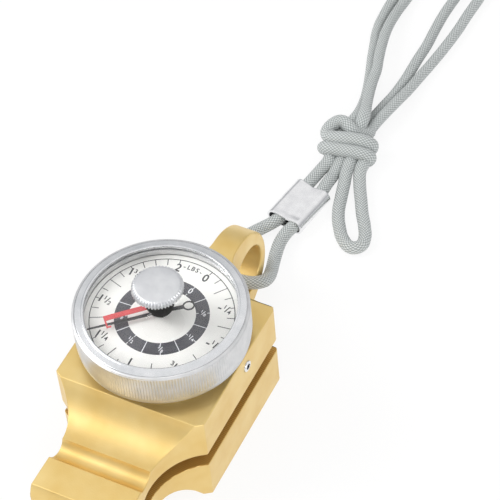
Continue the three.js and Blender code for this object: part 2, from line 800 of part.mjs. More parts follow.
// Maximum hand: a collar on the flange, a blade beside the axis and a thin bent tab at its end
function maxHand() {
  const collar = solid(turnedRing([
    [spindleRadius + clearance, handBottom], [spindleFlangeRadius, handBottom],
    [spindleFlangeRadius, handBottom + handThickness],
    [spindleRadius + clearance, handBottom + handThickness],
  ], midSegments));
  const near = -handSetback - handWidth / 2;
  const far = -handSetback + handWidth / 2;
  const blade = new THREE.Shape();
  blade.moveTo(0, near);
  blade.lineTo(handReach, near);
  blade.lineTo(handReach, far);
  blade.lineTo(0, far);
  blade.closePath();
  const tab = new THREE.Shape();
  tab.moveTo(handReach - handTabWidth, far - handTabWidth);
  tab.lineTo(handReach, far - handTabWidth);
  tab.lineTo(handReach, far + handTabDrop);
  tab.lineTo(handReach - handTabFoot, far + handTabDrop);
  tab.lineTo(handReach - handTabFoot, far + handTabDrop - handTabWidth);
  tab.lineTo(handReach - handTabWidth, far + handTabDrop - handTabWidth);
  tab.closePath();
  const plain = [blade, tab].map((shape) => solid(raised(shape, handBottom, handThickness)));
  const hole = solid(bar(spindleRadius + clearance, handBottom - overrun,
    handBottom + handThickness + overrun, midSegments));
  return geometryOf(joined([collar, ...plain]).subtract(hole))
    .rotateZ(THREE.MathUtils.degToRad(handAngle));
}

place(indicator, 'reset_knob', resetKnob(), material.satin);
place(indicator, 'knob_spindle', knobSpindle(), material.black);
place(indicator, 'max_hand', maxHand(), material.red);

// Pointer: a long thin blade, a hub on the centre arbor and a ring at the tail
function pointer() {
  const hubBottom = pointerBottom - pointerHubDrop;
  const hub = solid(turned([
    [0, hubBottom], [pointerHubRadius, hubBottom],
    [pointerHubRadius, pointerBottom + pointerThickness], [0, pointerBottom + pointerThickness],
  ], smallSegments));
  const blade = new THREE.Shape();
  const tailNeck = pointerTail - pointerTailRingRadius + pointerTailRingWidth / 2;
  blade.moveTo(-tailNeck, -pointerRootHalfWidth);
  blade.lineTo(0, -pointerRootHalfWidth);
  blade.lineTo(pointerReach, -pointerTipHalfWidth);
  blade.lineTo(pointerReach, pointerTipHalfWidth);
  blade.lineTo(0, pointerRootHalfWidth);
  blade.lineTo(-tailNeck, pointerRootHalfWidth);
  blade.closePath();
  const ring = solid(turnedRing([
    [pointerTailRingRadius - pointerTailRingWidth, pointerBottom],
    [pointerTailRingRadius, pointerBottom],
    [pointerTailRingRadius, pointerBottom + pointerThickness],
    [pointerTailRingRadius - pointerTailRingWidth, pointerBottom + pointerThickness],
  ], midSegments).translate(-pointerTail, 0, 0));
  const bore = solid(bar(centreArborRadius + pressGap, hubBottom - overrun,
    pointerBottom + pointerThickness + overrun, smallSegments));
  return geometryOf(hub.add(solid(raised(blade, pointerBottom, pointerThickness))).add(ring)
    .subtract(bore)).rotateZ(THREE.MathUtils.degToRad(pointerAngle));
}

place(indicator, 'pointer', pointer(), material.black);

// Cord: each stretch is a tube along hand-chosen points, lying on the table past the ring

const eyeRoute = [
  [5.55, 120.8, 2.9], [5.5, 114.9, 2.6], [5.4, 109.4, 3.2], [5.3, 103.9, 3.45], [4.2, 95.2, 3.45],
  [3.0, 86.5, 3.45], [2.1, 82.4, 3.5], [1.9, 78.0, 3.4], [2.9, 72.8, 4.0], [4.5, 67.4, 5.2],
  [6.1, 62.4, 6.7], [7.2, 57.9, 8.6], [6.9, 53.8, 10.9], [4.2, 51.1, 12.0], [0.0, 50.2, 12.2],
  [-3.9, 50.9, 12.1], [-7.2, 53.2, 11.0], [-8.8, 56.9, 9.2], [-9.8, 61.9, 7.0],
  [-10.7, 67.3, 5.1], [-10.8, 72.6, 3.8], [-9.7, 77.3, 3.1], [-7.3, 81.2, 3.0], [-4.7, 84.5, 3.6],
  [-3.3, 87.8, 3.45], [-2.2, 96.0, 3.45], [-1.0, 104.7, 3.45], [-0.3, 109.9, 3.1],
  [0.5, 115.2, 3.0], [1.5, 119.8, 3.8],
];

const outerLoopRoute = [
  [1.8, 137.5, 6.35], [2.5, 141.8, 5.1], [1.6, 148.1, 3.8], [0.1, 155.6, 2.5],
  [-3.0, 166.1, 2.05], [-5.8, 174.2, 2.05], [-7.9, 180.9, 2.05], [-10.5, 189.8, 2.05],
  [-11.6, 200.4, 2.05], [-11.6, 209.4, 2.05], [-10.9, 220.9, 2.05], [-9.9, 234.9, 2.05],
  [-9.6, 247.9, 2.05], [-6.4, 258.5, 2.05], [3.4, 264.2, 2.05], [13.4, 259.5, 2.05],
  [18.0, 248.9, 2.05], [18.9, 233.9, 2.05], [18.9, 221.4, 2.05], [18.3, 210.6, 2.05],
  [18.0, 201.6, 2.05], [17.0, 190.5, 2.05], [15.7, 180.5, 2.05], [14.6, 171.8, 2.6],
  [13.9, 163.7, 3.6], [12.9, 157.1, 4.4], [11.8, 150.9, 4.8], [10.6, 144.9, 4.8],
  [9.6, 139.6, 4.3], [8.9, 136.9, 3.7],
];

const innerLoopRoute = [
  [6.5, 136.0, 8.1], [6.4, 138.8, 8.2], [5.9, 142.0, 8.1], [4.3, 147.2, 7.5], [2.6, 152.8, 6.7],
  [1.0, 159.2, 6.3], [-0.6, 167.4, 5.9], [-2.0, 171.9, 5.8], [-4.2, 180.0, 5.5],
  [-6.0, 188.7, 4.9], [-6.9, 198.4, 3.7], [-6.9, 207.7, 2.5], [-6.2, 219.9, 2.05],
  [-5.3, 234.9, 2.05], [-5.0, 247.9, 2.05], [-2.2, 256.2, 2.05], [3.4, 259.2, 2.05],
  [9.0, 256.2, 2.05], [11.6, 247.9, 2.05], [11.1, 233.9, 2.05], [10.2, 217.4, 2.05],
  [9.7, 207.0, 2.05], [9.9, 198.2, 2.05], [10.3, 189.6, 2.05], [10.1, 180.8, 2.05],
  [10.1, 170.8, 2.05], [9.8, 165.0, 2.05], [9.3, 159.8, 2.05], [8.3, 154.5, 2.05],
  [7.4, 149.4, 2.05], [6.1, 142.5, 2.1], [5.3, 139.0, 2.6], [4.8, 136.5, 3.5],
];

const bightRoute = [
  [9.1, 121.8, 5.4], [9.9, 116.9, 4.0], [11.1, 112.0, 3.0], [12.6, 106.1, 2.2], [14.7, 99.2, 2.2],
  [18.0, 93.0, 2.2], [21.6, 88.4, 2.2], [25.6, 86.3, 2.2], [28.4, 88.3, 2.2], [28.2, 92.2, 2.2],
  [26.0, 96.9, 2.2], [22.9, 101.9, 2.2], [19.6, 108.0, 2.2], [16.6, 113.6, 2.7],
  [14.3, 118.9, 3.7], [13.6, 122.8, 4.9],
];

function cordTube(route, steps) {
  const path = new THREE.CatmullRomCurve3(route.map(([x, y, z]) => new THREE.Vector3(x, y, z)),
    false, 'centripetal');
  const section = new THREE.Shape();
  for (let side = 0; side < cordSides; side += 1) {
    const angle = ((side + 0.5) * 2 * Math.PI) / cordSides;
    const [x, y] = [cordRadius * Math.cos(angle), cordRadius * Math.sin(angle)];
    if (side === 0) section.moveTo(x, y);
    else section.lineTo(x, y);
  }
  section.closePath();
  return new THREE.ExtrudeGeometry(section, { steps, bevelEnabled: false, extrudePath: path });
}

place(gauge, 'cord_eye_loop', cordTube(eyeRoute, eyeLoopSteps), material.cord);
place(gauge, 'wrist_loop_outer', cordTube(outerLoopRoute, outerLoopSteps), material.cord);
place(gauge, 'wrist_loop_inner', cordTube(innerLoopRoute, innerLoopSteps), material.cord);
place(gauge, 'cord_bight', cordTube(bightRoute, bightSteps), material.cord);

// Ferrule: a flat-sided sleeve with round ends, pressed round the two strands
function roundEnded(halfPitch, radius) {
  const shape = new THREE.Shape();
  shape.absarc(halfPitch, 0, radius, -Math.PI / 2, Math.PI / 2);
  shape.absarc(-halfPitch, 0, radius, Math.PI / 2, 1.5 * Math.PI);
  shape.closePath();
  return shape;
}

function oval(halfWidth, halfHeight) {
  const shape = new THREE.Shape();
  shape.absellipse(0, 0, halfWidth, halfHeight, 0, 2 * Math.PI, false, 0);
  return shape;
}

// An outline (across, up) drawn out along Y on both sides of zero
function lengthwise(shape, length, steps) {
  return new THREE.ExtrudeGeometry(shape, {
    depth: length,
    bevelEnabled: false,
    curveSegments: steps,
  }).translate(0, 0, -length / 2).rotateX(Math.PI / 2);
}

function ferrule() {
  const bore = cordRadius + clearance;
  const [outside, inside] = [[bore + ferruleWall, ferruleLength], [bore, ferruleLength + overrun]]
    .map(([radius, length]) => solid(lengthwise(roundEnded(ferruleStrandOffset, radius), length,
      ferruleArcSteps)));
  return geometryOf(outside.subtract(inside))
    .rotateZ(THREE.MathUtils.degToRad(ferruleAngle))
    .translate(ferruleX, ferruleReach, ferruleHeight);
}

// Knot: two bands side by side round the strands, and a hump where they turn in
function knot() {
  const bandAcross = (halfWidth, along) => {
    const profile = [];
    for (let side = 0; side < bandSides; side += 1) {
      const angle = ((side + 0.5) / bandSides) * 2 * Math.PI;
      profile.push([knotHalfHeight - knotBandRadius + knotBandRadius * Math.cos(angle),
        knotBandRadius * Math.sin(angle)]);
    }
    return turnedRing(profile, midSegments)
      .scale(halfWidth / knotHalfHeight, 1, 1)
      .rotateX(Math.PI / 2)
      .translate(0, along, 0);
  };
  const bands = [0, 1].map((band) => solid(bandAcross(knotHalfWidth, -band * knotBandPitch)));
  const hump = bandAcross(knotHumpHalfWidth, 0)
    .rotateZ(THREE.MathUtils.degToRad(knotHumpLean))
    .translate(-knotHalfWidth * knotHumpShiftShare, knotBandPitch, 0);
  const coreHalfWidth = knotHalfWidth - knotBandRadius;
  const coreHalfHeight = knotHalfHeight - knotBandRadius;
  const core = lengthwise(oval(coreHalfWidth, coreHalfHeight), knotCoreLength, smallSegments);
  return geometryOf(joined([...bands, solid(hump), solid(core)]))
    .rotateZ(THREE.MathUtils.degToRad(knotAngle))
    .translate(knotX, knotReach, knotHeight);
}

place(gauge, 'ferrule', ferrule(), material.satin);
place(gauge, 'knot', knot(), material.cord);

export default gauge;
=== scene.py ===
# %% [markdown]
# # A pinch gauge in Blender
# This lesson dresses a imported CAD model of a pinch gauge: a gold anodised aluminium spring that is
# squeezed between thumb and finger, a round dial indicator that shows the pull, and a grey braided
# wrist cord. The CAD model is loaded first and stays as it is. Pieces whose shape is already right
# keep their solid and get a finish; the others are modelled again in finer detail.

import math

import bmesh
import bpy
from mathutils import Matrix, Vector, noise


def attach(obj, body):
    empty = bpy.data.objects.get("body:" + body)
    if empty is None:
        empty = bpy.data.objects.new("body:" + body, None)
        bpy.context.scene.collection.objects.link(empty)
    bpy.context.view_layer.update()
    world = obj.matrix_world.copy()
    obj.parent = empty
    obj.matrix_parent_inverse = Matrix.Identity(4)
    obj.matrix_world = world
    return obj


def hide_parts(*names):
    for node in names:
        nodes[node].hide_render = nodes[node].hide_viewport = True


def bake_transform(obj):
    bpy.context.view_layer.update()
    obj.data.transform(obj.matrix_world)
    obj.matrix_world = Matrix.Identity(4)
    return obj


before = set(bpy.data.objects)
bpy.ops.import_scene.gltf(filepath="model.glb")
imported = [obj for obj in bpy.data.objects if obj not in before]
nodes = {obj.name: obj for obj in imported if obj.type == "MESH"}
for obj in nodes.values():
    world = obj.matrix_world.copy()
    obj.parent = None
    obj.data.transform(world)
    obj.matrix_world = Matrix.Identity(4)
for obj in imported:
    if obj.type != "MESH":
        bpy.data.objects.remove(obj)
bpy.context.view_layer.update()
scene = bpy.context.scene
print("CAD nodes:", len(nodes))

# %% [markdown]
# ## Camera
# The camera stands where it stood for the photograph: 49.9 degrees above the table, 30 degrees to the
# right of the gauge's long axis and rolled a little. A long lens keeps the perspective as flat as in
# the photograph. The three directions are the columns of the camera's rotation.

# %% Place the camera
camera_place = Vector((0.24773, -0.36118, 0.59866))
camera_right = Vector((0.89537761, 0.4408868, -0.0625921))
camera_up = Vector((-0.30265751, 0.70561429, 0.64070813))
camera_back = Vector((0.32664564, -0.55473175, 0.76522893))
sensor_mm = 36
lens_mm = 158.4

camera = bpy.data.objects.new("camera", bpy.data.cameras.new("camera"))
camera.data.sensor_width = sensor_mm
camera.data.lens = lens_mm
rotation = Matrix((camera_right, camera_up, camera_back)).transposed().to_4x4()
camera.matrix_world = Matrix.Translation(camera_place) @ rotation
scene.collection.objects.link(camera)
scene.camera = camera
print("camera at", [round(value, 3) for value in camera.location])

# %% [markdown]
# ## Helpers
# A few small functions serve every piece. One turns a hex colour into the linear values that Blender
# wants, one adds a node, and one turns a bmesh into an object. No real surface has the same colour and
# gloss all over, so nearly every finish here wanders a little between two near values.

# %% Helpers for colours and nodes
byte = 255
gamma_knee = 0.04045
gamma_slope = 12.92
gamma_offset = 0.055
gamma_power = 2.4
# Nearly all of a noise's values lie between these two
noise_low = 0.3
noise_high = 0.7
noise_detail = 2


def linear(hex_colour):
    """An sRGB hex colour as linear red, green and blue, with full alpha."""
    shares = [int(hex_colour[i:i + 2], 16) / byte for i in (0, 2, 4)]
    out = []
    for share in shares:
        if share <= gamma_knee:
            out.append(share / gamma_slope)
        else:
            out.append(((share + gamma_offset) / (1 + gamma_offset)) ** gamma_power)
    return (*out, 1)


def add(tree, kind, inputs=None, **settings):
    """Adds a node. inputs maps a socket's name or number to a value, or to the socket that feeds it."""
    node = tree.nodes.new(kind)
    for name, value in settings.items():
        setattr(node, name, value)
    for key, value in (inputs or {}).items():
        if isinstance(value, bpy.types.NodeSocket):
            tree.links.new(value, node.inputs[key])
        else:
            node.inputs[key].default_value = value
    return node


def start_material(name, colour, metallic, roughness):
    """A material with its Principled shader set, and its node tree."""
    material = bpy.data.materials.new(name)
    material.use_nodes = True
    tree = material.node_tree
    shader = tree.nodes["Principled BSDF"]
    shader.inputs["Base Color"].default_value = linear(colour)
    shader.inputs["Metallic"].default_value = metallic
    shader.inputs["Roughness"].default_value = roughness
    return material, tree, shader


def mottle(tree, grain, low, high, coordinates=None):
    """A cloudy pattern between two colours or two numbers, with grains of that many metres."""
    if coordinates is None:
        coordinates = add(tree, "ShaderNodeTexCoord").outputs["Object"]
    pattern = add(tree, "ShaderNodeTexNoise",
                  {"Vector": coordinates, "Scale": 1 / grain, "Detail": noise_detail})
    share = add(tree, "ShaderNodeMapRange",
                {"Value": pattern.outputs["Fac"], "From Min": noise_low, "From Max": noise_high})
    if isinstance(low, str):
        mix = add(tree, "ShaderNodeMix", {0: share.outputs[0], 6: linear(low), 7: linear(high)},
                  data_type="RGBA")
        return mix.outputs[2]
    mix = add(tree, "ShaderNodeMix", {0: share.outputs[0], 2: low, 3: high})
    return mix.outputs[0]


def vary(tree, shader, socket, grain, low, high):
    """Lets a socket of the shader wander between two values, in patches of that many metres."""
    tree.links.new(mottle(tree, grain, low, high), shader.inputs[socket])


def bump(tree, shader, height, depth):
    """Gives the shader a bump of that many metres from a height between 0 and 1."""
    node = add(tree, "ShaderNodeBump", {"Height": height, "Distance": depth, "Strength": 1})
    tree.links.new(node.outputs["Normal"], shader.inputs["Normal"])


print("mid grey as linear values:", [round(value, 3) for value in linear("808080")])

# %% Helpers for meshes
smooth_angle = math.radians(38)
merge_distance = 1e-6


def finish_object(bm, name, material, body):
    """Makes a bmesh an object with a finish in a material slot and a body to ride on."""
    mesh = bpy.data.meshes.new(name)
    bm.to_mesh(mesh)
    bm.free()
    mesh.polygons.foreach_set("use_smooth", [True] * len(mesh.polygons))
    mesh.set_sharp_from_angle(angle=smooth_angle)
    if material is not None:
        mesh.materials.append(material)
    obj = bpy.data.objects.new(name, mesh)
    scene.collection.objects.link(obj)
    if body is not None:
        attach(obj, body)
    print(name, len(mesh.polygons), "faces")
    return obj


def apply_modifiers(obj):
    """Replaces an object's mesh by what its modifiers make of it."""
    bpy.context.view_layer.update()
    evaluated = obj.evaluated_get(bpy.context.evaluated_depsgraph_get())
    old = obj.data
    obj.data = bpy.data.meshes.new_from_object(evaluated)
    obj.data.name = obj.name
    obj.modifiers.clear()
    bpy.data.meshes.remove(old)


def clean(bm):
    """Merges doubles and turns every face outwards."""
    bmesh.ops.remove_doubles(bm, verts=bm.verts, dist=merge_distance)
    bmesh.ops.recalc_face_normals(bm, faces=bm.faces)


print("edges of more than", round(math.degrees(smooth_angle)), "degrees are drawn sharp")

# %% Shared sizes, in metres
block_top = 0.0381
block_middle = block_top / 2
dial_y = 0.0004
print("block", block_top, "m high")

# %% [markdown]
# A turned part is a profile that is spun round an axis, as on a lathe. All turned parts here share the
# dial's axis, and their heights count from the block's top. No real edge is quite sharp, so the corners
# of a simple profile can be eased, which costs only two more points each.

# %% Helpers for turned parts
longest_ease_share = 0.4


def eased(profile, radius):
    """A closed profile with each corner replaced by a small curve of three points."""
    out = []
    count = len(profile)
    for i, corner in enumerate(profile):
        here = Vector(corner)
        if here.x < merge_distance:
            out.append(here)
            continue
        before = Vector(profile[i - 1]) - here
        after = Vector(profile[(i + 1) % count]) - here
        reach = min(radius, before.length * longest_ease_share, after.length * longest_ease_share)
        first = here + before.normalized() * reach
        last = here + after.normalized() * reach
        middle = (first + last) / 4 + here / 2
        out += [first, middle, last]
    return out


def spun(profile, steps, ease=0.0):
    """A closed profile of radius and height above the block, spun round the dial's axis."""
    bm = bmesh.new()
    points = eased(profile, ease) if ease else [Vector(p) for p in profile]
    ring = [bm.verts.new((p.x, dial_y, block_top + p.y)) for p in points]
    edges = [bm.edges.new((a, b)) for a, b in zip(ring, ring[1:] + ring[:1])]
    bmesh.ops.spin(bm, geom=ring + edges, cent=(0, dial_y, 0), axis=(0, 0, 1),
                   angle=math.tau, steps=steps, use_merge=True)
    clean(bm)
    return bm


print("the dial's axis stands at y", dial_y)

# %% [markdown]
# ## Table and light
# The photograph shows the gauge on a pure white ground. The floor is a white sheet that mostly glows
# white for the rays that come from the camera, by way of metal or glass too, so that it stays white and
# still takes a faint shadow. The light is what a small product studio has: a bright tent above, darker
# sides, and two soft lamps. The darker sides matter, because metal shows only what is around it.

# %% Floor
floor_size = 4.0
floor_white = "ffffff"
floor_glow = 0.86

bm = bmesh.new()
bmesh.ops.create_grid(bm, x_segments=1, y_segments=1, size=floor_size)
mesh = bpy.data.meshes.new("floor")
bm.to_mesh(mesh)
bm.free()
floor = bpy.data.objects.new("floor", mesh)
scene.collection.objects.link(floor)
material = bpy.data.materials.new("white_paper_sweep")
material.use_nodes = True
tree = material.node_tree
tree.nodes.clear()
rays = add(tree, "ShaderNodeLightPath").outputs
camera_or_gloss = add(tree, "ShaderNodeMath", {0: rays["Is Camera Ray"], 1: rays["Is Glossy Ray"]},
                      operation="MAXIMUM")
seen = add(tree, "ShaderNodeMath", {0: camera_or_gloss.outputs[0], 1: rays["Is Transmission Ray"]},
           operation="MAXIMUM")
share = add(tree, "ShaderNodeMath", {0: seen.outputs[0], 1: floor_glow}, operation="MULTIPLY")
paper = add(tree, "ShaderNodeBsdfDiffuse", {"Color": linear(floor_white)})
glow = add(tree, "ShaderNodeEmission", {"Color": linear(floor_white), "Strength": 1})
mix = add(tree, "ShaderNodeMixShader", {0: share.outputs[0], 1: paper.outputs[0], 2: glow.outputs[0]})
add(tree, "ShaderNodeOutputMaterial", {"Surface": mix.outputs[0]})
floor.data.materials.append(material)
print("floor", floor.dimensions[:2])

# %% Light tent and lamps
tent_low = "d2d3d4"
tent_side = "b2b4b7"
tent_top = "ffffff"
tent_side_height = 0.22
tent_top_height = 0.75
tent_strength = 0.92
lamp_target = (0.0, 0.03, 0.03)
lamps = {
    "window_lamp": {"place": (-0.7, -0.2, 0.75), "size": 0.5, "watts": 3.8},
    "front_lamp": {"place": (0.6, -0.75, 0.6), "size": 0.6, "watts": 3.7},
}

world = bpy.data.worlds.new("light_tent")
world.use_nodes = True
scene.world = world
tree = world.node_tree
tree.nodes.clear()
where = add(tree, "ShaderNodeTexCoord")
split = add(tree, "ShaderNodeSeparateXYZ", {"Vector": where.outputs["Generated"]})
ramp = add(tree, "ShaderNodeValToRGB", {"Fac": split.outputs["Z"]})
ramp.color_ramp.elements[0].color = linear(tent_low)
ramp.color_ramp.elements[1].position = tent_top_height
ramp.color_ramp.elements[1].color = linear(tent_top)
side = ramp.color_ramp.elements.new(tent_side_height)
side.color = linear(tent_side)
sky = add(tree, "ShaderNodeBackground", {"Color": ramp.outputs["Color"], "Strength": tent_strength})
add(tree, "ShaderNodeOutputWorld", {"Surface": sky.outputs[0]})


def add_lamp(name, place, size, watts):
    """A square soft lamp that looks at the gauge."""
    data = bpy.data.lights.new(name, "AREA")
    data.size = size
    data.energy = watts
    lamp = bpy.data.objects.new(name, data)
    lamp.location = place
    aim = (Vector(lamp_target) - Vector(place)).normalized()
    lamp.rotation_euler = aim.to_track_quat("-Z", "Y").to_euler()
    scene.collection.objects.link(lamp)


for name, settings in lamps.items():
    add_lamp(name, **settings)
print("lamps:", len(lamps))

# %% [markdown]
# ## Cord
# The wrist strap is one piece of limp braided cord, 4 mm thick. It starts inside the ring, runs through
# the ferrule, is tied in an overhand knot on the doubled cord, makes the two wrist loops and the short
# bight below the knot, and comes back through the ferrule to where it started. A real cord has one
# length, here 0.90 m, so it is one curve through listed points. The knot's points are given in the
# knot's own frame, which is turned a little on the table.

# %% Cord route
cord_diameter = 0.004
knot_centre = Vector((0.0053, 0.1286, 0.0))
knot_turn = math.radians(13.9)

eye_loop = [
    (0.0055, 0.1149, 0.0026), (0.0054, 0.1094, 0.0032), (0.0053, 0.1039, 0.00345),
    (0.0042, 0.0952, 0.00345), (0.003, 0.0865, 0.00345), (0.0021, 0.0824, 0.0035),
    (0.0019, 0.078, 0.0034), (0.0029, 0.0728, 0.004), (0.0045, 0.0674, 0.0052),
    (0.0061, 0.0624, 0.0067), (0.0072, 0.0579, 0.0086), (0.0069, 0.0538, 0.0109),
    (0.0042, 0.0511, 0.012), (0, 0.0502, 0.0122), (-0.0039, 0.0509, 0.0121),
    (-0.0072, 0.0532, 0.011), (-0.0088, 0.0569, 0.0092), (-0.0098, 0.0619, 0.007),
    (-0.0107, 0.0673, 0.0051), (-0.0108, 0.0726, 0.0038), (-0.0097, 0.0773, 0.0031),
    (-0.0073, 0.0812, 0.003), (-0.0047, 0.0845, 0.0036), (-0.0033, 0.0878, 0.00345),
    (-0.0022, 0.096, 0.00345), (-0.001, 0.1047, 0.00345), (-0.0003, 0.1099, 0.0031),
    (0.0005, 0.1152, 0.003),
]
eye_middle = 13
outer_loop = [
    (0.0016, 0.1481, 0.0038), (0.0001, 0.1556, 0.0025), (-0.003, 0.1661, 0.00205),
    (-0.0058, 0.1742, 0.00205), (-0.0079, 0.1809, 0.00205), (-0.0105, 0.1898, 0.00205),
    (-0.0116, 0.2004, 0.00205), (-0.0116, 0.2094, 0.00205), (-0.0109, 0.2209, 0.00205),
    (-0.0099, 0.2349, 0.00205), (-0.0096, 0.2479, 0.00205), (-0.0064, 0.2585, 0.00205),
    (0.0034, 0.2642, 0.00205), (0.0134, 0.2595, 0.00205), (0.018, 0.2489, 0.00205),
    (0.0189, 0.2339, 0.00205), (0.0189, 0.2214, 0.00205), (0.0183, 0.2106, 0.00205),
    (0.018, 0.2016, 0.00205), (0.017, 0.1905, 0.00205), (0.0157, 0.1805, 0.00205),
    (0.0146, 0.1718, 0.0026), (0.0139, 0.1637, 0.0036), (0.0129, 0.1571, 0.0044),
    (0.0118, 0.1509, 0.0048), (0.0106, 0.1449, 0.0048), (0.0096, 0.1396, 0.0043),
]
inner_loop = [
    (0.0043, 0.1472, 0.0075), (0.0026, 0.1528, 0.0067), (0.001, 0.1592, 0.0063),
    (-0.0006, 0.1674, 0.0059), (-0.002, 0.1719, 0.0058), (-0.0042, 0.18, 0.0055),
    (-0.006, 0.1887, 0.0049), (-0.0069, 0.1984, 0.0037), (-0.0069, 0.2077, 0.0025),
    (-0.0062, 0.2199, 0.00205), (-0.0053, 0.2349, 0.00205), (-0.005, 0.2479, 0.00205),
    (-0.0022, 0.2562, 0.00205), (0.0034, 0.2592, 0.00205), (0.009, 0.2562, 0.00205),
    (0.0116, 0.2479, 0.00205), (0.0111, 0.2339, 0.00205), (0.0102, 0.2174, 0.00205),
    (0.0097, 0.207, 0.00205), (0.0099, 0.1982, 0.00205), (0.0103, 0.1896, 0.00205),
    (0.0101, 0.1808, 0.00205), (0.0101, 0.1708, 0.00205), (0.0098, 0.165, 0.00205),
    (0.0093, 0.1598, 0.00205), (0.0083, 0.1545, 0.00205), (0.0074, 0.1494, 0.00205),
    (0.0061, 0.1425, 0.0021),
]
bight = [
    (0.0099, 0.1169, 0.004), (0.0111, 0.112, 0.003), (0.0126, 0.1061, 0.00235),
    (0.0147, 0.0992, 0.00235), (0.018, 0.093, 0.00235), (0.0216, 0.0884, 0.00235),
    (0.0256, 0.0863, 0.00235), (0.0284, 0.0883, 0.00235), (0.0282, 0.0922, 0.00235),
    (0.026, 0.0969, 0.00235), (0.0229, 0.1019, 0.00235), (0.0196, 0.108, 0.00235),
    (0.0166, 0.1136, 0.0027), (0.0143, 0.1189, 0.0037),
]
# In the knot's frame: x across the bands, y from the ferrule to the wrist loops, z up from the table
knot_left_outer = [
    (-0.0058, -0.0076, 0.0035), (-0.0056, -0.004, 0.0037), (-0.0048, 0, 0.0048),
    (-0.0034, 0.0045, 0.0058), (-0.0014, 0.0086, 0.0059), (0.0003, 0.0124, 0.0056),
]
knot_left_inner = [
    (0.0036, 0.012, 0.0081), (0.0032, 0.009, 0.0077), (0.002, 0.0054, 0.0062),
    (0.0009, 0.0016, 0.0056), (-0.0004, -0.0026, 0.0046), (-0.0016, -0.0076, 0.0033),
]
knot_upper_band = [
    (0.0062, 0.008, 0.0042), (0.0048, 0.0056, 0.0052), (0.0028, 0.0038, 0.0068),
    (0.001, 0.0036, 0.0084), (-0.0006, 0.0047, 0.0095), (-0.0024, 0.006, 0.01),
    (-0.0044, 0.0063, 0.0099), (-0.0064, 0.0052, 0.0093), (-0.0078, 0.0034, 0.0086),
    (-0.0082, 0.0018, 0.0081), (-0.0074, 0.0003, 0.0081), (-0.0054, -0.0007, 0.0087),
    (-0.0028, -0.0011, 0.0093), (0, -0.0012, 0.0095), (0.0028, -0.0011, 0.0094),
    (0.0056, -0.0009, 0.0087), (0.008, -0.0004, 0.0072), (0.0087, 0.0002, 0.005),
    (0.0073, 0, 0.0029), (0.0044, -0.0008, 0.0024), (0.0026, -0.0036, 0.003),
    (0.0021, -0.0075, 0.0042),
]
knot_lower_band = [
    (0.0013, 0.0076, 0.0032), (0.0002, 0.0055, 0.0025), (-0.003, 0.001, 0.0025),
    (-0.0066, -0.001, 0.0026), (-0.0086, -0.0023, 0.0042), (-0.0074, -0.0038, 0.0062),
    (-0.0046, -0.0047, 0.0071), (-0.0014, -0.005, 0.0073), (0.0026, -0.0052, 0.0072),
    (0.006, -0.0051, 0.0065), (0.0084, -0.0045, 0.0048), (0.0084, -0.0042, 0.0029),
    (0.0069, -0.0056, 0.0029), (0.0067, -0.0078, 0.0036),
]


def from_knot(points):
    """Points in the knot's frame as points on the table."""
    turned = Matrix.Rotation(knot_turn, 3, "Z")
    return [tuple(knot_centre + turned @ Vector(point)) for point in points]


# A braid that is bent or squeezed opens a little, so those stretches are thicker than the loose ones
eye_share = 1.16
knot_share = 1.25
bight_share = 1.16
loose_share = 1.0
stretches = (
    (eye_loop[eye_middle:], eye_share),
    (from_knot(knot_left_outer), knot_share),
    (outer_loop, loose_share),
    (from_knot(knot_upper_band), knot_share),
    (bight, bight_share),
    (from_knot(knot_lower_band)[::-1], knot_share),
    (inner_loop[::-1], loose_share),
    (from_knot(knot_left_inner), knot_share),
    (eye_loop[:eye_middle + 1], eye_share),
)
cord_points = [point for points, share in stretches for point in points]
cord_shares = [share for points, share in stretches for point in points]
print("cord points:", len(cord_points))

# %% [markdown]
# The curve's handles are automatic, so the line is smooth through every point. Its round bevel makes
# the tube, which then becomes a mesh, because the braid needs coordinates that run along the cord:
# one number counts once round it and the other is the length in metres.

# %% Cord tube
cord_bevel_steps = 9
cord_steps_between_points = 9

curve = bpy.data.curves.new("wrist_cord", "CURVE")
curve.dimensions = "3D"
curve.resolution_u = cord_steps_between_points
spline = curve.splines.new("BEZIER")
spline.bezier_points.add(len(cord_points) - 1)
for stop, point, share in zip(spline.bezier_points, cord_points, cord_shares):
    stop.co = point
    stop.radius = share
    stop.handle_left_type = "AUTO"
    stop.handle_right_type = "AUTO"
line = bpy.data.objects.new("wrist_cord_line", curve)
scene.collection.objects.link(line)
bpy.context.view_layer.update()
depsgraph = bpy.context.evaluated_depsgraph_get()
wire = bpy.data.meshes.new_from_object(line.evaluated_get(depsgraph))
cord_path = [vertex.co.copy() for vertex in wire.vertices]
curve.bevel_depth = cord_diameter / 2
curve.bevel_resolution = cord_bevel_steps
bpy.context.view_layer.update()
depsgraph = bpy.context.evaluated_depsgraph_get()
tube = bpy.data.meshes.new_from_object(line.evaluated_get(depsgraph))
bpy.data.objects.remove(line)

lengths = [0.0]
for before, after in zip(cord_path, cord_path[1:]):
    lengths.append(lengths[-1] + (after - before).length)
rings = len(cord_path)
sides = len(tube.vertices) // rings
print("cord", round(lengths[-1], 4), "m,", rings, "rings of", sides)

# %% Cord coordinates and ends
bm = bmesh.new()
bm.from_mesh(tube)
bm.verts.ensure_lookup_table()
map_layer = bm.loops.layers.uv.verify()
for face in bm.faces:
    rounds = [loop.vert.index % sides for loop in face.loops]
    crosses_seam = max(rounds) - min(rounds) > sides / 2
    for loop, turn in zip(face.loops, rounds):
        if crosses_seam and turn < sides / 2:
            turn += sides
        loop[map_layer].uv = (turn / sides, lengths[loop.vert.index // sides])
bmesh.ops.holes_fill(bm, edges=[edge for edge in bm.edges if edge.is_boundary], sides=0)
bmesh.ops.recalc_face_normals(bm, faces=bm.faces)
print("cord faces:", len(bm.faces))
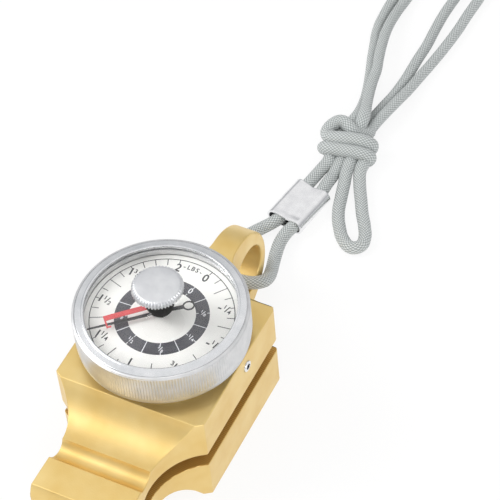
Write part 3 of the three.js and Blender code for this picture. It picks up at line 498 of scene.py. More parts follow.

# %% [markdown]
# Braided polyester: fourteen bundles of grey yarn cross at a slant, so the surface is a net of small
# slanted lozenges, the yarn's grey on top and painted shade in the gaps. Two slanted waves multiplied
# make that net. The same pattern drives the colour, from painted shade to the yarn's grey, and a
# shallow bump, and a little sheen stands for the loose fibres.

# %% Cord finish
braid_bundles_round = 14
braid_lozenge_length = 0.00125
braid_depth = 0.00022
bundle_roundness = 0.5
gap_height = 0.15
crown_height = 0.8
# The darker colour is painted shade for the gaps between the bundles
yarn_gap_painted_shade = "868d8c"
yarn_light = "d2d6d5"

cord_material, tree, shader = start_material("braided_polyester", yarn_light, metallic=0.0,
                                             roughness=0.55)
shader.inputs["Sheen Weight"].default_value = 0.25
shader.inputs["Sheen Roughness"].default_value = 0.4
where = add(tree, "ShaderNodeUVMap", uv_map="UVMap")
split = add(tree, "ShaderNodeSeparateXYZ", {"Vector": where.outputs["UV"]})
round_count = add(tree, "ShaderNodeMath", {0: split.outputs["X"], 1: math.pi * braid_bundles_round},
                  operation="MULTIPLY")
along_count = add(tree, "ShaderNodeMath", {0: split.outputs["Y"], 1: math.pi / braid_lozenge_length},
                  operation="MULTIPLY")
waves = []
for slant in ("ADD", "SUBTRACT"):
    both = add(tree, "ShaderNodeMath", {0: round_count.outputs[0], 1: along_count.outputs[0]},
               operation=slant)
    wave = add(tree, "ShaderNodeMath", {0: both.outputs[0]}, operation="SINE")
    waves.append(add(tree, "ShaderNodeMath", {0: wave.outputs[0]}, operation="ABSOLUTE").outputs[0])
net = add(tree, "ShaderNodeMath", {0: waves[0], 1: waves[1]}, operation="MULTIPLY")
height = add(tree, "ShaderNodeMath", {0: net.outputs[0], 1: bundle_roundness}, operation="POWER")
shade = add(tree, "ShaderNodeMapRange",
            {"Value": height.outputs[0], "From Min": gap_height, "From Max": crown_height})
# The colour runs from painted shade in the gaps to the yarn's own grey on the crowns
colour = add(tree, "ShaderNodeMix", {0: shade.outputs[0], 6: linear(yarn_gap_painted_shade), 7: linear(yarn_light)},
             data_type="RGBA")
tree.links.new(colour.outputs[2], shader.inputs["Base Color"])
bump(tree, shader, height.outputs[0], braid_depth)

cord = finish_object(bm, "wrist_cord", cord_material, "lower_half")
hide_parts("cord_eye_loop", "wrist_loop_outer", "wrist_loop_inner", "cord_bight", "knot")
print("cord box", [round(value, 4) for value in cord.dimensions])

# %% [markdown]
# ## Body
# The gauge's body is one thick block of aluminium, sawn open from the nose to the ring at the rear, so
# that its two arms close like a clothes peg when they are squeezed. Its upper half is a row of
# rectangular sections from the nose to the ring's rear wall. Each new section is extruded from the last
# one and moved to its place; the half is then mirrored, so that the two halves share the ring.

# %% Body sizes
slot_top = 0.0218
nose_tip = -0.06275
nose_centre_y = -0.05055
nose_radius = 0.0122
nose_start = math.radians(8)
nose_end = math.radians(33.9)
pad_z = 0.0286
pad_middle = -0.055
groove_centre = (-0.0458, 0.0302)
groove_radius = 0.004
groove_start = math.radians(-156.4)
groove_end = math.radians(-14.5)
sweep_centre = (-0.03962, 0.0436)
sweep_radius = 0.0145
sweep_start = math.radians(-99.1)
sweep_end = math.radians(-22.3)
block_front = -0.02461
block_rear = 0.0266
block_half_width = 0.0267
block_corner = 0.0015
rear_inner_width = 0.0218
pad_half_width = 0.01675
scallop_start = -0.04947
scallop_centre = (0.0380, -0.0436)
scallop_radius = 0.0221
fillet_radius = 0.0173
fillet_end = 0.0439
strap_half_width = 0.0045
slot_end = 0.04
ring_centre_y = 0.0437
ring_radius = 0.01905
hole_centre_y = 0.0495
hole_radius = 0.0099
hole_start = math.radians(125.9)
hole_open_share = 0.96
web_places = (0.0405, 0.0412, 0.0421, 0.043)
arc_steps = 12
nose_steps = 5
corner_steps = 4
ring_steps = 16
print("block", 2 * block_half_width, "m wide")

# %% Helpers for the body's sections
def half_width(y):
    """Half the plan's width at a place along the gauge, from the nose to the block."""
    if y <= scallop_start:
        return pad_half_width
    if y >= block_front:
        return block_half_width
    return scallop_centre[0] - math.sqrt(scallop_radius ** 2 - (y - scallop_centre[1]) ** 2)


def hole_height(y):
    """Height of the ring's hole above a place along the gauge."""
    return block_middle + math.sqrt(hole_radius ** 2 - (y - hole_centre_y) ** 2)


def spread(start, end, steps):
    """Evenly spaced values from start to end, both included."""
    return [start + (end - start) * i / steps for i in range(steps + 1)]


edge_weight = 0.4
sections = []


def section(outer, inner, width, long_edge=edge_weight, across=0.0, slot_across=0.0, upright=0.0):
    """Notes a section: its outer and inner points in the side view, half width and edge weights."""
    sections.append((outer, inner, width, long_edge, across, slot_across, upright))


print("half width at the block's front:", half_width(block_front), "m")

# %% Body sections
ring_weight = 1.0
ring_weight_step = 0.15
soft_weight = 0.3

for turn in spread(nose_start, nose_end, nose_steps):
    y = nose_centre_y - nose_radius * math.cos(turn)
    z = slot_top + nose_radius * math.sin(turn)
    first = turn == nose_start
    section((y, z), (nose_tip if first else y, slot_top), pad_half_width,
            across=edge_weight if first else 0.0, slot_across=edge_weight if first else 0.0,
            upright=edge_weight if first else 0.0)
sections[-1] = (*sections[-1][:4], soft_weight, 0.0, 0.0)
section((pad_middle, pad_z), (pad_middle, slot_top), pad_half_width)
for turn in spread(groove_start, groove_end, arc_steps):
    y = groove_centre[0] + groove_radius * math.cos(turn)
    z = groove_centre[1] + groove_radius * math.sin(turn)
    ends = turn in (groove_start, groove_end)
    section((y, z), (y, slot_top), half_width(y), across=soft_weight if ends else 0.0)
for turn in spread(sweep_start, sweep_end, arc_steps)[1:]:
    y = sweep_centre[0] + sweep_radius * math.cos(turn)
    z = sweep_centre[1] + sweep_radius * math.sin(turn)
    section((y, z), (y, slot_top), half_width(y), across=soft_weight if turn == sweep_end else 0.0)
section((block_front, block_top), (block_front, slot_top), block_half_width, upright=edge_weight)
for turn in spread(0, math.tau / 4, corner_steps):
    y = block_rear - block_corner + block_corner * math.sin(turn)
    width = block_half_width - block_corner + block_corner * math.cos(turn)
    section((y, block_top), (y, slot_top), width)
rear_face = len(sections) - 1
last_fillet = math.acos((fillet_end - slot_end) / fillet_radius)
for turn in spread(0, last_fillet, arc_steps):
    y = fillet_end - fillet_radius * math.cos(turn)
    width = rear_inner_width - fillet_radius * math.sin(turn)
    section((y, block_top), (y, slot_top), width,
            slot_across=soft_weight if turn == last_fillet else 0.0)
for y in (*web_places, ring_centre_y):
    turn = math.acos(max(0.0, fillet_end - y) / fillet_radius)
    width = rear_inner_width - fillet_radius * math.sin(turn)
    section((y, block_top), (y, hole_height(y)), width)
for k, turn in enumerate(spread(math.tau / 4, 0, ring_steps)[1:]):
    inner_turn = hole_start * hole_open_share * turn / (math.tau / 4)
    outer = (ring_centre_y + ring_radius * math.cos(turn), block_middle + ring_radius * math.sin(turn))
    inner = (hole_centre_y + hole_radius * math.cos(inner_turn),
             block_middle + hole_radius * math.sin(inner_turn))
    section(outer, inner, strap_half_width,
            long_edge=min(ring_weight, edge_weight + ring_weight_step * k))
print("body sections:", len(sections))

# %% Body mesh
# A face counts as level when its normal points up or down by at least this share
level_normal = 0.9

bm = bmesh.new()
weights = bm.edges.layers.float.new("bevel_weight_edge")


def corners_of(entry):
    """The four corners of a section: outer left and right, inner right and left."""
    (outer_y, outer_z), (inner_y, inner_z), width = entry[:3]
    return [(-width, outer_y, outer_z), (width, outer_y, outer_z),
            (width, inner_y, inner_z), (-width, inner_y, inner_z)]


def weigh(corners, entry):
    """Sets how wide each of a section's own edges is rounded."""
    across, slot_across, upright = entry[4:]
    for a, weight in enumerate((across, upright, slot_across, upright)):
        bm.edges.get((corners[a], corners[(a + 1) % len(corners)]))[weights] = weight


corners = [bm.verts.new(place) for place in corners_of(sections[0])]
bm.faces.new(corners)
weigh(corners, sections[0])
flat_edges = []
for index, entry in enumerate(sections[1:], 1):
    edges = [bm.edges.get(pair) for pair in zip(corners, corners[1:] + corners[:1])]
    made = set(bmesh.ops.extrude_edge_only(bm, edges=edges)["geom"])
    fresh = []
    for corner, place in zip(corners, corners_of(entry)):
        link = next(edge for edge in corner.link_edges if edge.other_vert(corner) in made)
        link[weights] = entry[3]
        other = link.other_vert(corner)
        other.co = place
        fresh.append(other)
    if index == rear_face + 1:
        flat_edges = [bm.edges.get((corners[0], corners[1])), bm.edges.get((corners[2], corners[3]))]
    corners = fresh
    weigh(corners, entry)
bmesh.ops.dissolve_edges(bm, edges=flat_edges, use_verts=False)
bmesh.ops.mirror(bm, geom=bm.verts[:] + bm.edges[:] + bm.faces[:],
                 matrix=Matrix.Translation((0, 0, -block_middle)), merge_dist=merge_distance, axis="Z")
clean(bm)
open_edges = [edge for edge in bm.edges if not edge.is_manifold]
# Level faces inside the slot get the second finish, whose darker gold is painted shade for the narrow
# slot
for face in bm.faces:
    middle = face.calc_center_median()
    in_slot = abs(middle.z - block_middle) < slot_top - block_middle + merge_distance
    if in_slot and middle.y < slot_end and abs(face.normal.z) > level_normal:
        face.material_index = 1
print("body faces:", len(bm.faces), "open edges:", len(open_edges))

# %% [markdown]
# Gold anodised aluminium: the block is machined, blasted to a fine satin, and dyed in the anodising
# bath. The oxide film keeps the metal's gloss, so the finish is a coloured metal with a soft
# highlight, a thin coat for the sealed film, and a grain that shows only as a faint sparkle. The slot's
# faces are bare saw cuts that still show the slanted marks of the cutter; their darker gold is painted
# shade for the narrow slot.

# %% Body finish
gold_deep = "e4c276"
gold_pale = "eed28e"
cloud = 0.012
gloss_cloud = 0.004
# Blasting grit leaves marks of about 0.1 mm, too fine to show, so they are drawn five times as wide
grain = 0.0005
grain_depth = 0.00001

gold, tree, shader = start_material("gold_anodised_aluminium_blasted", gold_pale, metallic=0.72,
                                    roughness=0.42)
shader.inputs["Coat Weight"].default_value = 0.2
shader.inputs["Coat Roughness"].default_value = 0.3
vary(tree, shader, "Base Color", cloud, gold_deep, gold_pale)
vary(tree, shader, "Roughness", gloss_cloud, low=0.38, high=0.46)
bump(tree, shader, mottle(tree, grain, 0.0, 1.0), grain_depth)

# Both colours are gold darkened by painted shade for the narrow slot; the wave between them draws the
# real cutter marks
slot_painted_shade_dark = "b08238"
slot_painted_shade_light = "cca254"
cutter_mark = 0.0007
cutter_depth = 0.00002
cutter_slant = math.radians(35)
# Blender's waves come about three to the unit of scale
waves_per_unit = 3
cutter_wobble = 3
cutter_detail = 3

# The sawn faces' finish: real cutter marks, in a darker gold that is painted shade
sawn_gold_painted_shade, tree, shader = start_material("gold_anodised_aluminium_sawn_painted_shade", slot_painted_shade_light, metallic=0.4,
                                         roughness=0.5)
where = add(tree, "ShaderNodeTexCoord")
turned = add(tree, "ShaderNodeMapping",
             {"Vector": where.outputs["Object"], "Rotation": (0, 0, cutter_slant)})
marks = add(tree, "ShaderNodeTexWave",
            {"Vector": turned.outputs[0], "Scale": 1 / cutter_mark / waves_per_unit,
             "Distortion": cutter_wobble, "Detail": cutter_detail})
colour = add(tree, "ShaderNodeMix",
             {0: marks.outputs["Fac"], 6: linear(slot_painted_shade_dark), 7: linear(slot_painted_shade_light)}, data_type="RGBA")
tree.links.new(colour.outputs[2], shader.inputs["Base Color"])
bump(tree, shader, marks.outputs["Fac"], cutter_depth)
print("body finishes:", gold.name, "and", sawn_gold_painted_shade.name)

# %% [markdown]
# The block's edges are broken by a small round, and two holes are drilled in its upper half: the bore
# of the indicator's stem, and the threaded hole of the set screw that clamps it. Bevel rounds each edge
# by its own weight. The Booleans come after it, so that the holes go clean through the rounded block.

# %% Helpers for drilling
bore_sides = 48


def add_cutter(name, radius, start, end):
    """A round bar from start to end, to drill a hole with."""
    bar = bmesh.new()
    length = (Vector(end) - Vector(start)).length
    bmesh.ops.create_cone(bar, cap_ends=True, segments=bore_sides, radius1=radius, radius2=radius,
                          depth=length)
    aim = (Vector(end) - Vector(start)).to_track_quat("Z", "Y").to_matrix().to_4x4()
    middle = (Vector(start) + Vector(end)) / 2
    bmesh.ops.transform(bar, matrix=Matrix.Translation(middle) @ aim, verts=bar.verts)
    mesh = bpy.data.meshes.new(name)
    bar.to_mesh(mesh)
    bar.free()
    cutter = bpy.data.objects.new(name, mesh)
    scene.collection.objects.link(cutter)
    return cutter


def drill(obj, cutter):
    """A Boolean modifier that takes the cutter's shape out of an object."""
    hole = obj.modifiers.new(cutter.name, "BOOLEAN")
    hole.object = cutter
    hole.operation = "DIFFERENCE"
    hole.solver = "EXACT"


print("bores have", bore_sides, "sides")

# %% Body object
stem_bore_radius = 0.00506
stem_x = -0.0036
stem_y = 0.0051
screw_hole_radius = 0.0021
screw_z = 0.0325
edge_round = 0.0009
edge_segments = 3
past = 0.003

body = finish_object(bm, "spring_body", gold, None)
body.data.materials.append(sawn_gold_painted_shade)
cutters = [
    add_cutter("stem_bore", stem_bore_radius, (stem_x, stem_y, slot_top - past),
               (stem_x, stem_y, block_top + past)),
    add_cutter("screw_hole", screw_hole_radius, (stem_x, stem_y, screw_z),
               (block_half_width + past, stem_y, screw_z)),
]
rounding = body.modifiers.new("edges", "BEVEL")
rounding.limit_method = "WEIGHT"
rounding.width = edge_round
rounding.segments = edge_segments
rounding.use_clamp_overlap = False
for cutter in cutters:
    drill(body, cutter)
apply_modifiers(body)
for cutter in cutters:
    bpy.data.objects.remove(cutter)
body.data.set_sharp_from_angle(angle=smooth_angle)
normals = body.modifiers.new("even_shading", "WEIGHTED_NORMAL")
normals.keep_sharp = True
apply_modifiers(body)
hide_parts("upper_arm", "lower_arm")
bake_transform(body)
print("body", len(body.data.polygons), "faces")

# %% [markdown]
# ## Rim
# The indicator's rim is turned from aluminium bar. Its side is knurled with fine straight teeth, so
# that a thumb can turn the dial to zero; a plain band is left at the bottom. A bump pattern would leave
# the outline smooth, so the teeth are real: the profile is spun with four steps for each tooth, and the
# points in each gap are then pushed in.

# %% Rim sizes
rim_teeth = 190
tooth_depth = 0.0004
tooth_sink_shares = (0.0, 0.5, 1.0, 0.5)
rim_radius = 0.028575
knurl_low = 0.0060
knurl_high = 0.0163
rim_profile = [
    (0.0249, 0.0040), (0.0281, 0.0040), (0.02823, 0.0042), (0.02823, 0.0059), (rim_radius, knurl_low),
    (rim_radius, 0.0094), (rim_radius, 0.0118), (rim_radius, 0.0141), (rim_radius, knurl_high),
    (0.0284, 0.0164), (0.02845, 0.0166), (0.0284, 0.01682), (0.0282, 0.0169), (0.0279, 0.0170),
    (0.0278, 0.0171), (0.02768, 0.0171), (0.02765, 0.0168), (0.0259, 0.0168), (0.0259, 0.0156),
    (0.0244, 0.0156), (0.0244, 0.01265), (0.0249, 0.01265),
]
print("rim", 2 * rim_radius, "m across")

# %% Rim teeth
def sink_point(vertex, depth, teeth, shares):
    """Moves a point of a spun shape towards the axis, by the share of its place within a tooth."""
    x, y = vertex.co.x, vertex.co.y - dial_y
    step = round(math.atan2(y, x) / math.tau * teeth * len(shares)) % len(shares)
    scale = 1 - depth * shares[step] / math.hypot(x, y)
    vertex.co.x = x * scale
    vertex.co.y = dial_y + y * scale


def axis_distance(vertex):
    """How far a point lies from the dial's axis."""
    return math.hypot(vertex.co.x, vertex.co.y - dial_y)


bm = spun(rim_profile, rim_teeth * len(tooth_sink_shares))
for vertex in bm.verts:
    z = vertex.co.z - block_top
    in_band = knurl_low - merge_distance < z < knurl_high - merge_distance
    if in_band and axis_distance(vertex) > rim_radius - tooth_depth:
        sink_point(vertex, tooth_depth, rim_teeth, tooth_sink_shares)
print("rim teeth:", rim_teeth)

# %% [markdown]
# Satin aluminium: turned and then lightly brushed, so it is a pale neutral metal with a fine grain
# round the axis. The noise is stretched sideways, so that its grains become short level streaks. The
# ring that holds the glass is the same metal with a finer, brighter finish.

# %% Rim finish
satin_dark = "d2d3d4"
satin_light = "dededf"
satin_cloud = 0.004
# A fine cut leaves marks of about 0.08 mm, too fine to show, so they are drawn three times as wide
turning_mark = 0.00025
turning_depth = 0.000006
turning_stretch = (0.06, 0.06, 1)

satin, tree, shader = start_material("aluminium_turned_satin", satin_light, metallic=0.85,
                                     roughness=0.38)
vary(tree, shader, "Base Color", satin_cloud, satin_dark, satin_light)
where = add(tree, "ShaderNodeTexCoord")
flat = add(tree, "ShaderNodeMapping", {"Vector": where.outputs["Object"], "Scale": turning_stretch})
bump(tree, shader, mottle(tree, turning_mark, 0.0, 1.0, flat.outputs[0]), turning_depth)
rim = finish_object(bm, "knurled_rim", satin, "rim")
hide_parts("bezel")

# %% Glass ring
bright_dark = "dadcdf"
bright_light = "e8e9eb"
bright_cloud = 0.006
bright_mark = 0.0004
round_steps = 144
small_ease = 0.0001

bright, tree, shader = start_material("aluminium_turned_bright", bright_light, metallic=0.9,
                                      roughness=0.26)
vary(tree, shader, "Base Color", bright_cloud, bright_dark, bright_light)
vary(tree, shader, "Roughness", bright_mark, low=0.17, high=0.25)
ring_profile = [
    (0.0246, 0.01685), (0.0276, 0.01685), (0.0276, 0.01712), (0.0273, 0.01722), (0.0255, 0.01752),
    (0.0252, 0.0177), (0.0248, 0.0177), (0.0246, 0.0176),
]
bm = spun(ring_profile, round_steps, small_ease)
ring = finish_object(bm, "glass_ring", bright, "rim")
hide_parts("bezel_ring")

# %% [markdown]
# ## Dial
# The dial is a thin white enamelled disc. Its print lies a hair above it: a circle with 33 strokes for
# the pull in pounds, a dark ring with light strokes for kilograms, and figures that all stand upright.
# A picture of the print would blur up close, so each stroke is a small flat sheet placed by one loop,
# and the figures are text turned into mesh.

# %% Dial disc
dial_low = 0.0116
dial_high = 0.0124
dial_hole = 0.002
dial_radius = 0.0243
disc_steps = 96
enamel_white = "f8f7f3"
enamel_cream = "f2f2ee"
enamel_cloud = 0.01
enamel_peel = 0.0008
enamel_peel_depth = 0.000004

enamel, tree, shader = start_material("dial_enamel_sprayed", enamel_white, metallic=0.0,
                                      roughness=0.45)
vary(tree, shader, "Base Color", enamel_cloud, enamel_cream, enamel_white)
bump(tree, shader, mottle(tree, enamel_peel, 0.0, 1.0), enamel_peel_depth)
dial_profile = [
    (dial_hole, dial_low), (dial_radius, dial_low), (dial_radius, dial_high), (dial_hole, dial_high),
]
bm = spun(dial_profile, disc_steps, small_ease)
dial = finish_object(bm, "dial_disc", enamel, "rim")
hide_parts("dial_face")

# %% Printing inks
ink_patch = 0.0012


def ink(name, colour, darker):
    """A matt printing ink with a slightly uneven coat."""
    material, tree, shader = start_material(name, colour, metallic=0.0, roughness=0.5)
    vary(tree, shader, "Base Color", ink_patch, darker, colour)
    return material


black_ink = ink("printing_ink_black", "2b2b30", "232327")
grey_ink = ink("printing_ink_grey", "48484f", "404046")
white_ink = ink("printing_ink_white", "eef0f2", "e2e4e8")
print("inks:", black_ink.name, grey_ink.name, white_ink.name)

# %% Sizes of the print
scale_start = math.radians(72.5)
scale_span = math.radians(330.5)
scale_steps = 32
strokes_per_figure = 4
scale_radius = 0.0226
line_width = 0.00026
short_stroke = 0.0023
long_stroke = 0.0045
figure_stroke = 0.0013
ring_inner = 0.01117
ring_outer = 0.01526
ink_height = 0.00002
ring_mark_height = 0.00004
print("scale turns through", round(math.degrees(scale_span), 1), "degrees")

# %% Helpers for the print
def on_dial(x, y, height, turn):
    """The place of a flat print: a spot of the dial, its height above it and its turn."""
    spot = Matrix.Translation((x, dial_y + y, block_top + dial_high + height))
    return spot @ Matrix.Rotation(turn, 4, "Z")


def stroke(bm, angle, inner, outer, height):
    """A thin flat sheet along a radius of the dial."""
    place = on_dial(0, 0, height, angle) @ Matrix.Translation(((inner + outer) / 2, 0, 0))
    matrix = place @ Matrix.Diagonal((outer - inner, line_width, 1, 1))
    bmesh.ops.create_grid(bm, x_segments=1, y_segments=1, size=0.5, matrix=matrix)


def flat_ring(bm, inner, outer):
    """A flat ring on the dial, made by spinning one short edge."""
    z = block_top + dial_high + ink_height
    ends = [bm.verts.new((radius, dial_y, z)) for radius in (inner, outer)]
    edge = bm.edges.new(ends)
    bmesh.ops.spin(bm, geom=ends + [edge], cent=(0, dial_y, 0), axis=(0, 0, 1),
                   angle=math.tau, steps=round_steps, use_merge=True)


def face_up(bm):
    """Turns every flat face of a print upwards."""
    bmesh.ops.remove_doubles(bm, verts=bm.verts, dist=merge_distance)
    bm.normal_update()
    bmesh.ops.reverse_faces(bm, faces=[face for face in bm.faces if face.normal.z < 0])


print("print lies", ink_height, "m above the dial")

# %% Scale strokes and dark ring
scale_print = bmesh.new()
flat_ring(scale_print, scale_radius - line_width / 2, scale_radius + line_width / 2)
lengths_by_place = {0: figure_stroke, strokes_per_figure // 2: long_stroke}
for step in range(scale_steps + 1):
    angle = scale_start - scale_span * step / scale_steps
    length = lengths_by_place.get(step % strokes_per_figure, short_stroke)
    stroke(scale_print, angle, scale_radius - length, scale_radius, ink_height)
ring_print = bmesh.new()
flat_ring(ring_print, ring_inner, ring_outer)
face_up(ring_print)
finish_object(ring_print, "dark_ring_print", grey_ink, "rim")
print("scale strokes:", scale_steps + 1)

# %% [markdown]
# Each figure is a text object made into mesh, so that it stays sharp at any distance. A fraction is
# three of them: two small numerals and a slanted bar. All stand upright, wherever they are on the
# dial, but the unit mark follows the circle.

# %% Helpers for figures
figure_height = 0.0039
figure_weight = 0.00008
figure_radius = 0.0196
small_figure = 0.0028
ring_figure_radius = 0.0133
eighth_turn = math.radians(45.55)
upright_turn = math.radians(-1.5)
whole_shift_share = 0.36
fraction_shift_share = 0.22
numeral_share = 0.54
numeral_out_share = 0.44
numeral_up_share = 0.36
slash_share = 0.85


def letter(bm, text, place, size, turn, height):
    """Adds one short text to a print, centred on a place of the dial and turned about it."""
    curve = bpy.data.curves.new("figure", "FONT")
    curve.body = text
    curve.size = size
    curve.offset = figure_weight * size / figure_height
    curve.align_x = "CENTER"
    curve.align_y = "CENTER"
    obj = bpy.data.objects.new("figure", curve)
    scene.collection.objects.link(obj)
    bpy.context.view_layer.update()
    mesh = bpy.data.meshes.new_from_object(obj.evaluated_get(bpy.context.evaluated_depsgraph_get()))
    mesh.transform(on_dial(*place, height, turn))
    bm.from_mesh(mesh)
    bpy.data.objects.remove(obj)
    bpy.data.meshes.remove(mesh)


def figure(bm, whole, top, bottom, angle, radius, size, height):
    """A figure such as 1 1/4: a whole number, and a small numeral over another with a slanted bar."""
    x, y = radius * math.cos(angle), radius * math.sin(angle)
    if not top:
        letter(bm, whole, (x, y), size, upright_turn, height)
        return
    if whole:
        letter(bm, whole, (x - size * whole_shift_share, y), size, upright_turn, height)
        x += size * fraction_shift_share
    numeral = size * numeral_share
    out, up = numeral * numeral_out_share, numeral * numeral_up_share
    letter(bm, top, (x - out, y + up), numeral, upright_turn, height)
    letter(bm, "/", (x, y), size * slash_share, upright_turn, height)
    letter(bm, bottom, (x + out, y - up), numeral, upright_turn, height)


print("figures", figure_height, "m high")

# %% Pound figures
pound_figures = [("0", "", ""), ("-", "1", "4"), ("-", "1", "2"), ("", "3", "4"), ("1", "", ""),
                 ("1", "1", "4"), ("1", "1", "2"), ("1", "3", "4"), ("2", "", "")]
for index, texts in enumerate(pound_figures):
    angle = scale_start - scale_span * index / (len(pound_figures) - 1)
    figure(scale_print, *texts, angle, figure_radius, figure_height, ink_height)
unit_radius = 0.0205
unit_size = 0.0022
unit_first = math.radians(96.5)
unit_step = math.radians(-4.1)
for index, mark in enumerate("-LBS-"):
    angle = unit_first + unit_step * index
    place = (unit_radius * math.cos(angle), unit_radius * math.sin(angle))
    letter(scale_print, mark, place, unit_size, angle - math.tau / 4, ink_height)
face_up(scale_print)
finish_object(scale_print, "pound_scale_print", black_ink, "rim")

# %% Kilogram figures
ring_marks = bmesh.new()
kilogram_figures = [("0", "", ""), ("", "1", "8"), ("", "1", "4"), ("", "3", "8"), ("", "1", "2"),
                    ("", "5", "8"), ("", "3", "4"), ("", "7", "8")]
notch = line_width * 3
for index, texts in enumerate(kilogram_figures):
    angle = scale_start - eighth_turn * index
    figure(ring_marks, *texts, angle, ring_figure_radius, small_figure, ring_mark_height)
    stroke(ring_marks, angle - eighth_turn / 2, ring_inner, ring_outer, ring_mark_height)
    stroke(ring_marks, angle, ring_outer - notch, ring_outer, ring_mark_height)
    stroke(ring_marks, angle, ring_inner, ring_inner + notch, ring_mark_height)
face_up(ring_marks)
finish_object(ring_marks, "kilogram_scale_print", white_ink, "rim")

# %% [markdown]
# ## Glass
# The crystal is a flat acrylic window, clear and thin, with a hole in its middle for the knob's
# bushing. Light that only has to pass through it on its way to the dial is let straight through,
# because a render would otherwise need far more samples to find it.

# %% Glass
glass_hole = 0.0035
glass_radius = 0.0256
glass_low = 0.0157
glass_high = 0.0167
acrylic_ior = 1.49

glass, tree, shader = start_material("acrylic_polished", "ffffff", metallic=0.0, roughness=0.0)
shader.inputs["IOR"].default_value = acrylic_ior
shader.inputs["Transmission Weight"].default_value = 1.0
shadow = add(tree, "ShaderNodeLightPath").outputs["Is Shadow Ray"]
through = add(tree, "ShaderNodeBsdfTransparent")
mix = add(tree, "ShaderNodeMixShader", {0: shadow, 1: shader.outputs[0], 2: through.outputs[0]})
tree.links.new(mix.outputs[0], tree.nodes["Material Output"].inputs["Surface"])
glass_profile = [
    (glass_hole, glass_low), (glass_radius, glass_low), (glass_radius, glass_high),
    (glass_hole, glass_high),
]
bm = spun(glass_profile, disc_steps, small_ease)
crystal = finish_object(bm, "window", glass, "rim")
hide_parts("crystal")

# %% [markdown]
# ## Bushing and reset knob
# A black moulded bushing sits in the window's hole and carries the spindle of the red hand. Its flared
# side is one slanted line of a spun profile. Nylon moulded in a spark-eroded mould has no shine, so the
# specular level is low.

# %% Bushing
bushing_profile = [
    (0.00135, 0.0157), (0.0032, 0.0157), (0.0032, 0.01685), (0.0039, 0.01685), (0.0041, 0.0171),
    (0.0060, 0.0235), (0.0061, 0.0239), (0.0061, 0.0255), (0.00135, 0.0255),
]
bushing_steps = 72
bushing_ease = 0.00015
nylon_dark = "0e0e0d"
nylon_light = "171716"
nylon_cloud = 0.002
# The mould's grain of about 0.05 mm is too fine to show, so it is drawn six times as wide
nylon_grain = 0.0003
nylon_grain_depth = 0.000008

nylon, tree, shader = start_material("black_nylon_moulded", nylon_light, metallic=0.0, roughness=0.55)
shader.inputs["Specular IOR Level"].default_value = 0.12
vary(tree, shader, "Base Color", nylon_cloud, nylon_dark, nylon_light)
bump(tree, shader, mottle(tree, nylon_grain, 0.0, 1.0), nylon_grain_depth)
bm = spun(bushing_profile, bushing_steps, bushing_ease)
bushing = finish_object(bm, "knob_collar", nylon, "rim")
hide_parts("knob_bushing")

# %% [markdown]
# The knob on top is turned aluminium with 48 coarse teeth, a softly domed top and a finely blasted
# finish. Its teeth are made as the rim's are. They fade out over a short run on the flat faces, so that
# the top and the underside stay round.

# %% Reset knob
knob_teeth = 48
knob_tooth_depth = 0.00052
knob_sink_shares = (0.0, 0.15, 0.8, 1.0, 0.8, 0.15)
knob_radius = 0.0084
knob_flank = 0.0073
knob_run_out = 0.0006
knob_profile = [
    (0.0, 0.0276), (0.00125, 0.0276), (0.00125, 0.0258), (0.0072, 0.0258), (0.0080, 0.02592),
    (knob_radius, 0.0263), (knob_radius, 0.0274), (0.00828, 0.0279), (0.0080, 0.0282),
    (0.0076, 0.02842), (0.0072, 0.02855), (0.0068, 0.02862), (0.0052, 0.02878), (0.003, 0.02887),
    (0.0, 0.0289),
]
frost_dark = "dcdde0"
frost_light = "e8e9eb"
frost_cloud = 0.004
# Marks of fine grit, about 0.05 mm, are too fine to show, so they are drawn five times as wide
frost_grain = 0.00025
frost_depth = 0.000006

frosted, tree, shader = start_material("aluminium_blasted_fine", frost_light, metallic=1.0,
                                       roughness=0.36)
vary(tree, shader, "Base Color", frost_cloud, frost_dark, frost_light)
bump(tree, shader, mottle(tree, frost_grain, 0.0, 1.0), frost_depth)
bm = spun(knob_profile, knob_teeth * len(knob_sink_shares))
for vertex in bm.verts:
    past_flank = axis_distance(vertex) - knob_flank
    if past_flank > 0:
        depth = knob_tooth_depth * min(1, past_flank / knob_run_out)
        sink_point(vertex, depth, knob_teeth, knob_sink_shares)
knob = finish_object(bm, "reset_knob_detailed", frosted, "reset")
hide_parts("reset_knob")

# %% [markdown]
# ## Set screw
# A small socket set screw in the block's right side clamps the indicator's stem and stands a little
# out of it. Its end is a chromed disc with a chamfer and a six-sided socket, which a Boolean cuts out of
# the bar, because a socket modelled face by face would need the disc's faces joined to it by hand.

# %% Set screw bar
screw_radius = 0.002
screw_start = 0.0142
screw_stand_out = 0.0005
screw_end = block_half_width + screw_stand_out
screw_sides = 36
screw_chamfer = 0.00028
along_x = Matrix.Rotation(math.tau / 4, 4, "Y")
chrome_pale = "ebecee"
chrome_wear = 0.0006

chrome, tree, shader = start_material("steel_chromed", chrome_pale, metallic=1.0, roughness=0.12)
vary(tree, shader, "Roughness", chrome_wear, low=0.08, high=0.2)
bm = bmesh.new()
bmesh.ops.create_cone(bm, cap_ends=True, segments=screw_sides, radius1=screw_radius,
                      radius2=screw_radius, depth=screw_end - screw_start)
ends = [edge for edge in bm.edges if abs(edge.verts[0].co.z - edge.verts[1].co.z) < merge_distance]
bmesh.ops.bevel(bm, geom=ends, offset=screw_chamfer, affect="EDGES", segments=2, profile=0.5,
                material=-1)
middle = ((screw_start + screw_end) / 2, stem_y, screw_z)
bmesh.ops.transform(bm, matrix=Matrix.Translation(middle) @ along_x, verts=bm.verts)
screw = finish_object(bm, "stem_set_screw", chrome, "upper_half")

# %% Set screw socket
socket_radius = 0.00115
socket_depth = 0.0018
socket_sides = 6

